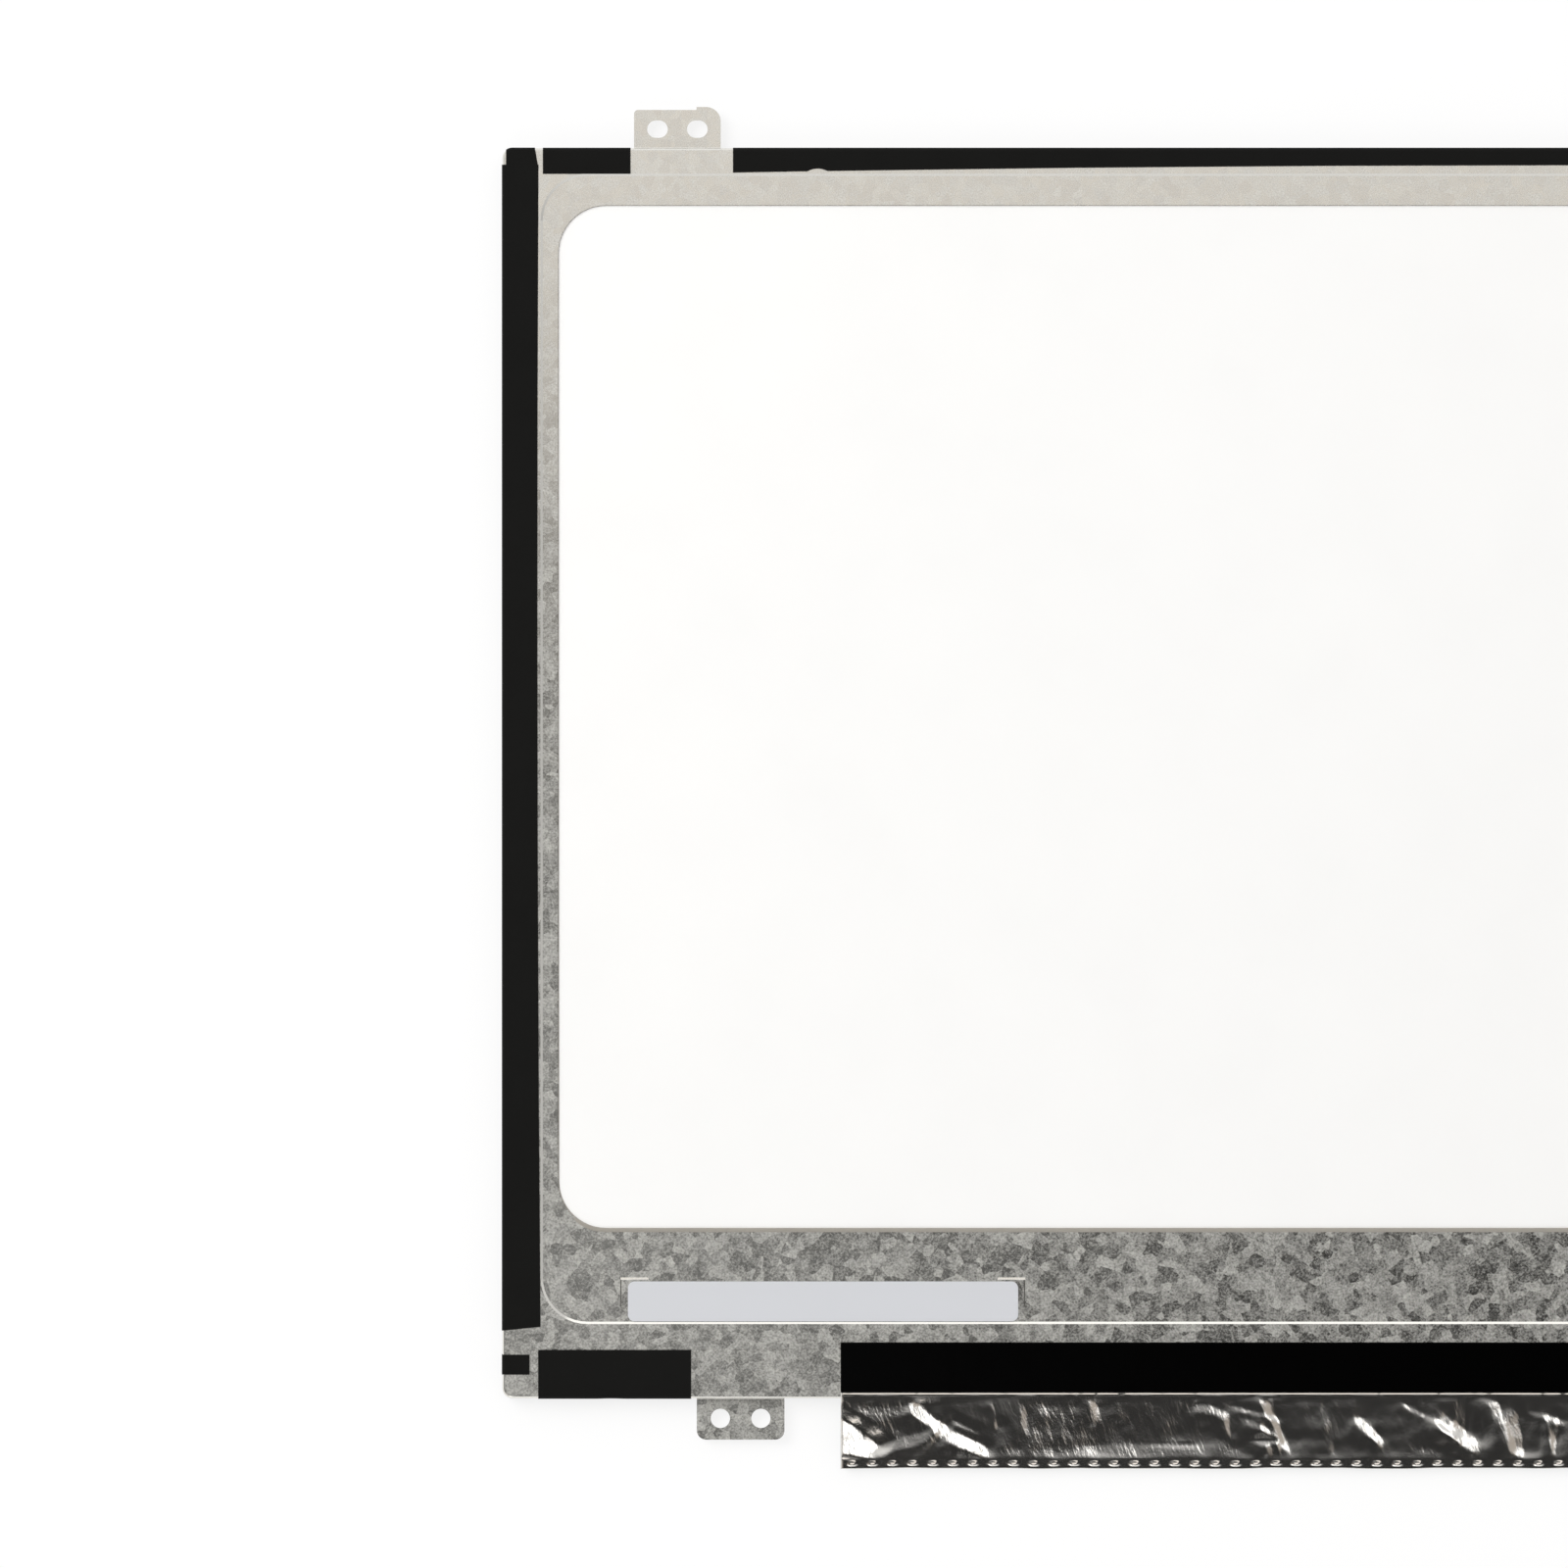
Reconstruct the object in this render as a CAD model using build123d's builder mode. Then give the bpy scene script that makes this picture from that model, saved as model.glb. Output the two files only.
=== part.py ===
from build123d import *
import os
from math import atan, cos, degrees, radians, sin

# Slim LED-backlit laptop screen panel, wide format, lying on its display face.
# Millimetres. The origin is the middle of the active area, on the display face.
# As seen from the rear, +X runs to the right and +Y to the top edge. +Z points to the rear.

# Display and outline
active_width = 309.4
active_height = 173.95
side_border = 5.5
top_border = 5.5
bottom_border = 8.65
corner_radius = 1.5

# Layers, from the display face to the rear
front_polariser_thickness = 0.20
glass_thickness = 0.50
rear_polariser_thickness = 0.15
ledge_thickness = 0.30
diffuser_thickness = 0.10
prism_film_thickness = 0.15
light_guide_thickness = 0.60
reflector_thickness = 0.20
steel_thickness = 0.25
tape_thickness = 0.08
label_thickness = 0.10

# Pressed steel back: bends, raised border, window and seam
bend_radius = 0.45
border_rise = 0.20
step_run = 0.35
field_side_inset = 6.1
field_top_inset = 4.2
field_bottom_inset = 11.55
field_corner_radius = 6.7
window_side_inset = 8.4
window_top_inset = 8.6
window_bottom_inset = 25.5
window_corner_radius = 7.2
seam_bottom_inset = 7.4
seam_side_inset = 4.2
seam_width = 0.15
seam_depth = 0.05

# Fixing tabs, bent out of the walls between two relief slits
tab_rise = 0.40
tab_bend_radius = 0.35
tab_relief_width = 0.50
tab_relief_height = 0.80
top_tab_inset = 19.8
top_tab_width = 13.05
top_tab_height = 6.3
top_tab_step = 0.45
top_tab_step_place = 9.4
top_tab_small_radius = 0.6
top_tab_large_radius = 2.2
top_slot_spacing = 6.0
top_slot_length = 3.1
top_slot_height = 2.6
top_slot_place = 2.95
bottom_tab_inset = 29.25
bottom_tab_width = 13.2
bottom_tab_height = 6.3
bottom_tab_corner = 1.4
bottom_hole_spacing = 6.1
bottom_hole_diameter = 2.9
bottom_hole_place = 3.1

# Mould frame, its snap hooks, and the sheets that it carries
frame_gap = 0.05
rim_radius = 0.30
rim_chamfer = 0.20
sheet_gap = 0.15
glass_inset = 2.6
tft_bottom_inset = 2.4
colour_filter_bottom_inset = 6.0
front_polariser_inset = 4.0
front_polariser_bottom_inset = 7.2
rim_tape_width = 1.5
rim_tape_bottom_width = 3.9
rear_polariser_gap = 0.2
ledge_inset = 4.6
ledge_bottom_inset = 7.6
sheet_inset = 3.6
light_guide_bottom_inset = 4.0
film_setback = 0.2
ear_place = 30.0
ear_width = 8.0
ear_reach = 1.0
hook_width = 3.4
hook_height = 0.6
hook_land = 0.2
hook_reach = 0.15
hook_window_gap = 0.2
hook_rise = 0.7
top_hook_inset = 47.3
bottom_hook_inset = 16.35
side_hook_place = 45.0

# Edge light
led_width = 3.0
led_depth = 1.1
led_pitch = 6.2
led_gap = 0.1
led_end_margin = 6.0
strip_back_margin = 1.2
strip_overlap = 1.5
strip_end_inset = 6.0
tail_place = 32.0
tail_width = 8.0
tail_drop_gap = 0.45
tail_bend_radius = 0.3
tail_foot = 1.6

# Glass ledge, joining flexes and control board
driver_chip_count = 4
driver_chip_length = 20.0
driver_chip_width = 1.4
driver_chip_thickness = 0.30
driver_chip_setback = 1.0
flex_count = 3
flex_width = 24.0
flex_thickness = 0.08
flex_glass_bond = 0.8
flex_board_bond = 1.5
flex_notch_gap = 0.5
board_inset = 51.5
board_gap = 1.3
board_height = 9.3
board_thickness = 0.80
part_height = 0.75
timing_controller_place = 45.7
timing_controller_length = 14.0
timing_controller_width = 4.6
led_driver_place = 62.0
led_driver_size = 4.0
inductor_size = 3.0
inductor_corner = 0.6
inductor_pitch = 5.0
inductor_count = 3
inductor_gap = 6.0
capacitor_length = 1.6
capacitor_width = 0.8
capacitor_height = 0.7
capacitor_pitch_x = 3.2
capacitor_pitch_y = 2.6
capacitor_columns = 6
capacitor_gap = 5.0
part_line = 6.2

# Screen cable socket
socket_place = 30.0
socket_width = 20.0
socket_depth = 3.6
socket_height = 1.0
socket_overhang = 0.3
socket_slot_width = 16.6
socket_slot_depth = 2.9
socket_floor = 0.3
socket_slot_height = 0.5
shell_thickness = 0.12
shell_setback = 0.3
shell_depth = 3.0
contact_count = 30
contact_pitch = 0.5
contact_width = 0.22
contact_thickness = 0.12
contact_setback = 0.3
contact_tail = 0.9

# Foil shield and black film over the board
foil_thickness = 0.06
foil_inset = 50.9
foil_flange = 2.0
foil_lip = 0.35
foil_part_gap = 0.30
foil_foot = 1.6
foil_overhang = 0.15
foil_socket_gap = 1.0
crease_count = 24
crease_length = 4.6
crease_width = 0.6
crease_height = 0.12
crease_lean = 35.0
crease_spread = 30.0
crease_turn = 2.4
dot_length = 1.1
dot_width = 0.9
dot_height = 0.14
dot_taper = 30.0
dot_pitch = 3.03
dot_end_margin = 1.6
dot_place = 0.95
film_inset = 50.9
film_top_inset = 8.45
film_bottom_inset = 0.9
film_thickness = 0.08

# Black tapes round the edges
lip_reach = 3.6
edge_tape_top_reach = 5.45
edge_tape_middle_reach = 5.3
edge_tape_bottom_reach = 5.75
edge_tape_end = 10.2
edge_tape_end_slant = 0.6
tongue_length = 2.5
tongue_inset = 0.56
tongue_reach = 4.9
tongue_root_reach = 5.35
tongue_flap = 1.5
top_left_tape_inset = 6.1
top_left_tape_length = 13.2
top_left_tape_reach = 3.9
top_middle_tape_inset = 34.7
top_middle_tape_reach = 3.7
top_middle_tape_waist = 2.6
top_nick_inset = 45.6
top_nick_width = 3.7
top_nick_reach = 3.1
bottom_tape_inset = 5.4
bottom_tape_length = 23.0
bottom_tape_reach = 7.3
bottom_tape_hem = 0.5
bottom_nick_inset = 13.9
bottom_nick_width = 4.9
bottom_nick_reach = 0.45
corner_tape_place = 3.6
corner_tape_width = 3.0
corner_tape_reach = 4.1
corner_tape_hem = 0.3
cover_tape_lap = 1.0

# Blank label in the recessed field
label_inset = 18.9
label_length = 58.7
label_height = 6.0
label_corner_radius = 1.0
label_gap = 0.05
mark_length = 4.2
mark_side_gap = 1.1
mark_top_gap = 0.4

# Outline limits worked out from the active area
outline_width = active_width + 2 * side_border
outline_height = active_height + top_border + bottom_border
left = -outline_width / 2
right = outline_width / 2
top = active_height / 2 + top_border
bottom = top - outline_height

# Levels worked out from the layers
z_glass_front = front_polariser_thickness
z_tft_front = z_glass_front + glass_thickness
z_tft_rear = z_tft_front + glass_thickness
z_ledge_front = z_tft_rear + rear_polariser_thickness
z_ledge_rear = z_ledge_front + ledge_thickness
z_guide_front = z_ledge_rear + 2 * diffuser_thickness + 2 * prism_film_thickness
z_guide_rear = z_guide_front + light_guide_thickness
z_field_inner = z_guide_rear + reflector_thickness
z_field = z_field_inner + steel_thickness
z_border_inner = z_field_inner + border_rise
z_border = z_field + border_rise
z_wall_end = z_tft_rear
z_tab = z_wall_end + tab_rise
z_hook = z_wall_end + hook_rise
z_board_rear = z_tft_front + board_thickness
z_roof = z_board_rear + part_height
step_angle = degrees(atan(step_run / border_rise))

# Places along the lower edge
led_front = bottom + light_guide_bottom_inset - led_gap
led_back = led_front - led_depth
strip_back = led_back - strip_back_margin
strip_front = bottom + light_guide_bottom_inset + strip_overlap
board_left = left + board_inset
board_right = right - board_inset
board_length = board_right - board_left
board_top = bottom - board_gap
board_bottom = board_top - board_height
part_y = board_bottom + part_line
socket_x = board_right - socket_place
socket_mouth = board_bottom - socket_overhang
socket_back = socket_mouth + socket_depth
tail_x = board_left + tail_place
frame_inset = steel_thickness + frame_gap


def limits(x_min, x_max, y_min, y_max, mode=Mode.ADD):
    """Draw a rectangle between these limits in the open sketch."""
    with Locations(((x_min + x_max) / 2, (y_min + y_max) / 2)):
        Rectangle(x_max - x_min, y_max - y_min, mode=mode)


def inset_rectangle(side, at_top, at_bottom, radius=0.0, mode=Mode.ADD):
    """Draw a rectangle at these distances inside the outline, with round corners if asked."""
    width = outline_width - 2 * side
    height = outline_height - at_top - at_bottom
    with Locations((0, bottom + at_bottom + height / 2)):
        if radius > 0:
            RectangleRounded(width, height, radius, mode=mode)
        else:
            Rectangle(width, height, mode=mode)


def sheet_outline(at_bottom, grow=0.0, mode=Mode.ADD):
    """Draw the outline of the light guide and films, with an ear on each side."""
    inset_rectangle(sheet_inset - grow, sheet_inset - grow, at_bottom - grow, mode=mode)
    side = right - sheet_inset
    with Locations((-side, ear_place), (side, ear_place)):
        Rectangle(2 * (ear_reach + grow), ear_width + 2 * grow, mode=mode)


def wall_plane(x, y, outward):
    """Plane on the outer face of a wall: local x points outwards and local y to the rear."""
    out = Vector(*outward)
    return Plane(origin=(x, y, 0), x_dir=out, z_dir=out.cross(Vector(0, 0, 1)))


def edge_wrap(face, inward, reach):
    """Trace a tape's section round an edge: front lip, side, and rear flange of the given reach."""
    half = tape_thickness / 2
    with BuildLine() as section:
        FilletPolyline(
            (face + inward * lip_reach, z_glass_front - half),
            (face - inward * half, z_glass_front - half),
            (face - inward * half, z_border + half),
            (face + inward * reach, z_border + half),
            radius=[rim_radius + half, bend_radius + half],
        )
    trace(section.line, line_width=tape_thickness)


def rear_wrap(face, inward, reach, hem):
    """Trace a tape's section over a rear edge, from a flange down the wall to the level hem."""
    half = tape_thickness / 2
    with BuildLine() as section:
        FilletPolyline(
            (face + inward * reach, z_border + half),
            (face - inward * half, z_border + half),
            (face - inward * half, hem),
            radius=bend_radius + half,
        )
    trace(section.line, line_width=tape_thickness)


hook_walls = [
    wall_plane(left + top_hook_inset, top, (0, 1, 0)),
    wall_plane(right - top_hook_inset, top, (0, 1, 0)),
    wall_plane(left + bottom_hook_inset, bottom, (0, -1, 0)),
    wall_plane(right - bottom_hook_inset, bottom, (0, -1, 0)),
    wall_plane(left, side_hook_place, (-1, 0, 0)),
    wall_plane(left, -side_hook_place, (-1, 0, 0)),
    wall_plane(right, side_hook_place, (1, 0, 0)),
    wall_plane(right, -side_hook_place, (1, 0, 0)),
]

# Liquid-crystal cell
with BuildPart() as front_polariser:
    with BuildSketch(Plane.XY):
        inset_rectangle(front_polariser_inset, front_polariser_inset, front_polariser_bottom_inset)
    extrude(amount=front_polariser_thickness)

with BuildPart() as colour_filter_glass:
    with BuildSketch(Plane.XY.offset(z_glass_front)):
        inset_rectangle(glass_inset, glass_inset, colour_filter_bottom_inset)
    extrude(amount=glass_thickness)

with BuildPart() as tft_glass:
    with BuildSketch(Plane.XY.offset(z_tft_front)):
        inset_rectangle(glass_inset, glass_inset, tft_bottom_inset)
    extrude(amount=glass_thickness)

rim_inner = glass_inset + rim_tape_width
rim_bottom_inner = tft_bottom_inset + rim_tape_bottom_width
with BuildPart() as rim_tape:
    with BuildSketch(Plane.XY.offset(z_tft_rear)):
        inset_rectangle(glass_inset, glass_inset, tft_bottom_inset)
        inset_rectangle(rim_inner, rim_inner, rim_bottom_inner, mode=Mode.SUBTRACT)
    extrude(amount=rear_polariser_thickness)

with BuildPart() as rear_polariser:
    with BuildSketch(Plane.XY.offset(z_tft_rear)):
        inset_rectangle(
            rim_inner + rear_polariser_gap,
            rim_inner + rear_polariser_gap,
            rim_bottom_inner + rear_polariser_gap,
        )
    extrude(amount=rear_polariser_thickness)

# Bare driver chips bonded to the glass ledge, evenly along it
ledge_top = bottom + colour_filter_bottom_inset
chip_pitch = (outline_width - 2 * glass_inset) / driver_chip_count
with BuildPart() as driver_chips:
    with BuildSketch(Plane.XY.offset(z_tft_front)):
        with Locations((0, ledge_top - driver_chip_setback - driver_chip_width / 2)):
            with GridLocations(chip_pitch, 0, driver_chip_count, 1):
                Rectangle(driver_chip_length, driver_chip_width)
    extrude(amount=-driver_chip_thickness)

# Flat flexes from the glass ledge to the board
flex_pitch = board_length / flex_count
flex_top = bottom + tft_bottom_inset + flex_glass_bond
flex_bottom = board_top - flex_board_bond
with BuildPart() as joining_flexes:
    with BuildSketch(Plane.XY.offset(z_tft_front)):
        with Locations((0, (flex_top + flex_bottom) / 2)):
            with GridLocations(flex_pitch, 0, flex_count, 1):
                Rectangle(flex_width, flex_top - flex_bottom)
    extrude(amount=-flex_thickness)

# Mould frame: front rim, ledge, rear wall, snap hooks and cable notches
with BuildPart() as mould_frame:
    with BuildSketch(Plane.XY.offset(z_glass_front)):
        inset_rectangle(0, 0, 0, corner_radius)
    extrude(amount=z_wall_end - z_glass_front)
    chamfer(mould_frame.faces().sort_by(Axis.Z)[0].edges(), rim_radius)
    with BuildSketch(Plane.XY.offset(z_wall_end)):
        inset_rectangle(frame_inset, frame_inset, frame_inset, corner_radius - frame_inset)
    extrude(amount=z_border_inner - frame_gap - z_wall_end)
    chamfer(mould_frame.faces().sort_by(Axis.Z)[-1].edges(), rim_chamfer)
    with BuildSketch(Plane.XY.offset(z_glass_front)):
        inset_rectangle(glass_inset - sheet_gap, glass_inset - sheet_gap, tft_bottom_inset - sheet_gap)
    extrude(amount=z_ledge_front - z_glass_front, mode=Mode.SUBTRACT)
    with BuildSketch(Plane.XY.offset(z_ledge_front)):
        inset_rectangle(ledge_inset, ledge_inset, ledge_bottom_inset)
    extrude(amount=ledge_thickness, mode=Mode.SUBTRACT)
    with BuildSketch(Plane.XY.offset(z_ledge_rear)):
        sheet_outline(strip_back - bottom, sheet_gap)
    extrude(amount=z_border - z_ledge_rear, mode=Mode.SUBTRACT)
    with BuildSketch(Plane.XY.offset(z_glass_front)):
        with Locations((0, bottom + tft_bottom_inset / 2)):
            with GridLocations(flex_pitch, 0, flex_count, 1):
                Rectangle(flex_width + 2 * flex_notch_gap, tft_bottom_inset)
    extrude(amount=z_tft_front + frame_gap - z_glass_front, mode=Mode.SUBTRACT)
    with BuildSketch(Plane.XY.offset(z_guide_rear - sheet_gap)):
        with Locations((tail_x, (bottom + strip_back) / 2)):
            Rectangle(tail_width + 2 * sheet_gap, strip_back - bottom)
    extrude(amount=z_border - z_guide_rear, mode=Mode.SUBTRACT)
    for wall in hook_walls:
        with BuildSketch(wall):
            with BuildLine():
                Polyline(
                    (-frame_inset, z_hook),
                    (hook_reach - steel_thickness, z_hook),
                    (hook_reach - steel_thickness, z_hook + hook_land),
                    (-frame_inset, z_hook + hook_height),
                    close=True,
                )
            make_face()
        extrude(amount=hook_width / 2, both=True)

# Optical films between the mould frame's ledge and the light guide
films = {}
film_level = z_ledge_rear
for film_name, film_thickness_here in (
    ("upper_diffuser", diffuser_thickness),
    ("upper_prism_film", prism_film_thickness),
    ("lower_prism_film", prism_film_thickness),
    ("lower_diffuser", diffuser_thickness),
):
    with BuildPart() as film:
        with BuildSketch(Plane.XY.offset(film_level)):
            sheet_outline(light_guide_bottom_inset + film_setback)
        extrude(amount=film_thickness_here)
    films[film_name] = film
    film_level += film_thickness_here

with BuildPart() as light_guide_plate:
    with BuildSketch(Plane.XY.offset(z_guide_front)):
        sheet_outline(light_guide_bottom_inset)
    extrude(amount=light_guide_thickness)

with BuildPart() as reflector_sheet:
    with BuildSketch(Plane.XY.offset(z_guide_rear)):
        sheet_outline(strip_front - bottom + sheet_gap)
    extrude(amount=reflector_thickness)

# Edge light: diodes on a flex strip whose tail drops to the board, and the tape behind it
led_room = outline_width - 2 * (sheet_inset + led_end_margin) - led_width
led_count = int(led_room / led_pitch) + 1
with BuildPart() as leds:
    with BuildSketch(Plane.XY.offset(z_guide_front)):
        with Locations((0, (led_front + led_back) / 2)):
            with GridLocations(led_pitch, 0, led_count, 1):
                Rectangle(led_width, led_depth)
    extrude(amount=light_guide_thickness)

strip_middle = z_guide_rear + reflector_thickness / 2
tail_fall = bottom - tail_drop_gap - reflector_thickness / 2
tail_level = z_board_rear + reflector_thickness / 2
with BuildPart() as led_strip:
    with BuildSketch(Plane.XY.offset(z_guide_rear)):
        limits(left + strip_end_inset, right - strip_end_inset, strip_back, strip_front)
    extrude(amount=reflector_thickness)
    with BuildSketch(Plane.YZ.offset(tail_x - tail_width / 2)):
        with BuildLine():
            FilletPolyline(
                (strip_back, strip_middle),
                (tail_fall, strip_middle),
                (tail_fall, tail_level),
                (board_top - tail_foot, tail_level),
                radius=tail_bend_radius,
            )
        trace(line_width=reflector_thickness)
    extrude(amount=tail_width)

with BuildPart() as led_strip_tape:
    with BuildSketch(Plane.XY.offset(z_field_inner)):
        limits(left + strip_end_inset, right - strip_end_inset, strip_back, strip_front)
    extrude(amount=border_rise)

# Steel tabs, each a strip of wall bent outwards and trimmed to its plan
with BuildPart() as top_tab:
    tab_start = left + top_tab_inset
    tab_tip = top + top_tab_height
    with BuildSketch(Plane.YZ.offset(tab_start)):
        with BuildLine():
            FilletPolyline(
                (top - steel_thickness / 2, z_tab + tab_relief_height),
                (top - steel_thickness / 2, z_tab + steel_thickness / 2),
                (tab_tip, z_tab + steel_thickness / 2),
                radius=tab_bend_radius,
            )
        trace(line_width=steel_thickness)
    extrude(amount=top_tab_width)
    with BuildSketch(Plane.XY.offset(z_tab)):
        with BuildLine():
            FilletPolyline(
                (tab_start, top - steel_thickness),
                (tab_start, tab_tip - top_tab_step),
                (tab_start + top_tab_step_place, tab_tip - top_tab_step),
                (tab_start + top_tab_step_place, tab_tip),
                (tab_start + top_tab_width, tab_tip),
                (tab_start + top_tab_width, top - steel_thickness),
                radius=[0, top_tab_small_radius, 0, 0, top_tab_large_radius, 0],
                close=True,
            )
        make_face()
        with Locations((tab_start + top_tab_width / 2, top + top_slot_place)):
            with GridLocations(top_slot_spacing, 0, 2, 1):
                SlotOverall(top_slot_length, top_slot_height, mode=Mode.SUBTRACT)
    extrude(amount=tab_relief_height, mode=Mode.INTERSECT)

with BuildPart() as bottom_tab:
    tab_start = left + bottom_tab_inset
    tab_tip = bottom - bottom_tab_height
    with BuildSketch(Plane.YZ.offset(tab_start)):
        with BuildLine():
            FilletPolyline(
                (bottom + steel_thickness / 2, z_tab + tab_relief_height),
                (bottom + steel_thickness / 2, z_tab + steel_thickness / 2),
                (tab_tip, z_tab + steel_thickness / 2),
                radius=tab_bend_radius,
            )
        trace(line_width=steel_thickness)
    extrude(amount=bottom_tab_width)
    with BuildSketch(Plane.XY.offset(z_tab)):
        with BuildLine():
            FilletPolyline(
                (tab_start, bottom + steel_thickness),
                (tab_start, tab_tip),
                (tab_start + bottom_tab_width, tab_tip),
                (tab_start + bottom_tab_width, bottom + steel_thickness),
                radius=[0, bottom_tab_corner, bottom_tab_corner, 0],
                close=True,
            )
        make_face()
        with Locations((tab_start + bottom_tab_width / 2, bottom - bottom_hole_place)):
            with GridLocations(bottom_hole_spacing, 0, 2, 1):
                Circle(bottom_hole_diameter / 2, mode=Mode.SUBTRACT)
    extrude(amount=tab_relief_height, mode=Mode.INTERSECT)

# Room inside the pressed tray, deeper under the raised border than under the field
with BuildPart() as tray_room:
    with BuildSketch(Plane.XY.offset(z_wall_end)):
        inset_rectangle(
            steel_thickness, steel_thickness, steel_thickness, corner_radius - steel_thickness
        )
    extrude(amount=z_border_inner - z_wall_end)
    chamfer(tray_room.faces().sort_by(Axis.Z)[-1].edges(), bend_radius - steel_thickness)
    with BuildSketch(Plane.XY.offset(z_field_inner)):
        inset_rectangle(field_side_inset, field_top_inset, field_bottom_inset, field_corner_radius)
    extrude(amount=border_rise, taper=-step_angle, mode=Mode.SUBTRACT)

# Outer form of the pressed tray, with its walls bent round a full edge
with BuildPart() as tray_block:
    with BuildSketch(Plane.XY.offset(z_wall_end)):
        inset_rectangle(0, 0, 0, corner_radius)
    extrude(amount=z_border - z_wall_end)
    fillet(tray_block.faces().sort_by(Axis.Z)[-1].edges(), bend_radius)

# Pressed steel back frame with its recessed field, window, seam, label marks, tabs and hook windows
label_bottom = bottom + field_bottom_inset + label_gap
mark_left = left + label_inset - mark_side_gap
mark_right = left + label_inset + label_length + mark_side_gap
mark_top = label_bottom + label_height + mark_top_gap
with BuildPart() as back_frame:
    add(tray_block.part)
    with BuildSketch(Plane.XY.offset(z_field)):
        inset_rectangle(field_side_inset, field_top_inset, field_bottom_inset, field_corner_radius)
    extrude(amount=border_rise, taper=-step_angle, mode=Mode.SUBTRACT)
    add(tray_room.part, mode=Mode.SUBTRACT)
    with BuildSketch(Plane.XY.offset(z_field_inner)):
        inset_rectangle(
            window_side_inset, window_top_inset, window_bottom_inset, window_corner_radius
        )
    extrude(amount=steel_thickness, mode=Mode.SUBTRACT)
    seam_y = bottom + seam_bottom_inset
    seam_x = right - seam_side_inset
    with BuildSketch(Plane.XY.offset(z_border - seam_depth)):
        limits(-seam_x, seam_x, seam_y - seam_width, seam_y)
        limits(-seam_x, -seam_x + seam_width, bottom + bend_radius, seam_y)
        limits(seam_x - seam_width, seam_x, bottom + bend_radius, seam_y)
    extrude(amount=seam_depth, mode=Mode.SUBTRACT)
    with BuildSketch(Plane.XY.offset(z_field - seam_depth)):
        limits(mark_left, mark_left + mark_length, mark_top - seam_width, mark_top)
        limits(mark_left, mark_left + seam_width, mark_top - mark_length, mark_top)
        limits(mark_right - mark_length, mark_right, mark_top - seam_width, mark_top)
        limits(mark_right - seam_width, mark_right, mark_top - mark_length, mark_top)
    extrude(amount=seam_depth, mode=Mode.SUBTRACT)
    with BuildSketch(Plane.XY.offset(z_wall_end)):
        limits(
            left + top_tab_inset - tab_relief_width,
            left + top_tab_inset + top_tab_width + tab_relief_width,
            top - steel_thickness,
            top,
        )
        limits(
            left + bottom_tab_inset - tab_relief_width,
            left + bottom_tab_inset + bottom_tab_width + tab_relief_width,
            bottom,
            bottom + steel_thickness,
        )
        mirror(about=Plane.YZ)
    extrude(amount=tab_rise + tab_relief_height, mode=Mode.SUBTRACT)
    with BuildSketch(Plane.XY.offset(z_wall_end)):
        with Locations((tail_x, bottom + steel_thickness / 2)):
            Rectangle(tail_width + 2 * sheet_gap, steel_thickness)
    extrude(amount=z_field_inner + sheet_gap - z_wall_end, mode=Mode.SUBTRACT)
    for wall in hook_walls:
        with BuildSketch(wall):
            limits(-steel_thickness, 0, z_hook - hook_window_gap, z_hook + hook_height + hook_window_gap)
        extrude(amount=hook_width / 2 + hook_window_gap, both=True, mode=Mode.SUBTRACT)
    add(top_tab.part)
    add(bottom_tab.part)
    mirror(top_tab.part, about=Plane.YZ)
    mirror(bottom_tab.part, about=Plane.YZ)

# Control board and the parts on its rear
with BuildPart() as control_board:
    with BuildSketch(Plane.XY.offset(z_tft_front)):
        limits(board_left, board_right, board_bottom, board_top)
    extrude(amount=board_thickness)

with BuildPart() as timing_controller:
    with BuildSketch(Plane.XY.offset(z_board_rear)):
        with Locations((board_left + timing_controller_place, part_y)):
            Rectangle(timing_controller_length, timing_controller_width)
    extrude(amount=part_height)

led_driver_x = board_right - led_driver_place
with BuildPart() as led_driver_chip:
    with BuildSketch(Plane.XY.offset(z_board_rear)):
        with Locations((led_driver_x, part_y)):
            Rectangle(led_driver_size, led_driver_size)
    extrude(amount=part_height)

inductor_row = (inductor_count - 1) * inductor_pitch
inductor_x = led_driver_x - led_driver_size / 2 - inductor_gap - inductor_row / 2
with BuildPart() as power_inductors:
    with BuildSketch(Plane.XY.offset(z_board_rear)) as inductor_plan:
        with Locations((inductor_x, part_y)):
            with GridLocations(inductor_pitch, 0, inductor_count, 1):
                Rectangle(inductor_size, inductor_size)
        chamfer(inductor_plan.vertices(), inductor_corner)
    extrude(amount=part_height)

capacitor_row = (capacitor_columns - 1) * capacitor_pitch_x
capacitor_x = timing_controller_length / 2 + capacitor_gap + capacitor_row / 2
with BuildPart() as capacitors:
    with BuildSketch(Plane.XY.offset(z_board_rear)):
        with Locations((board_left + timing_controller_place + capacitor_x, part_y)):
            with GridLocations(capacitor_pitch_x, capacitor_pitch_y, capacitor_columns, 2):
                Rectangle(capacitor_length, capacitor_width)
    extrude(amount=capacitor_height)

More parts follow.
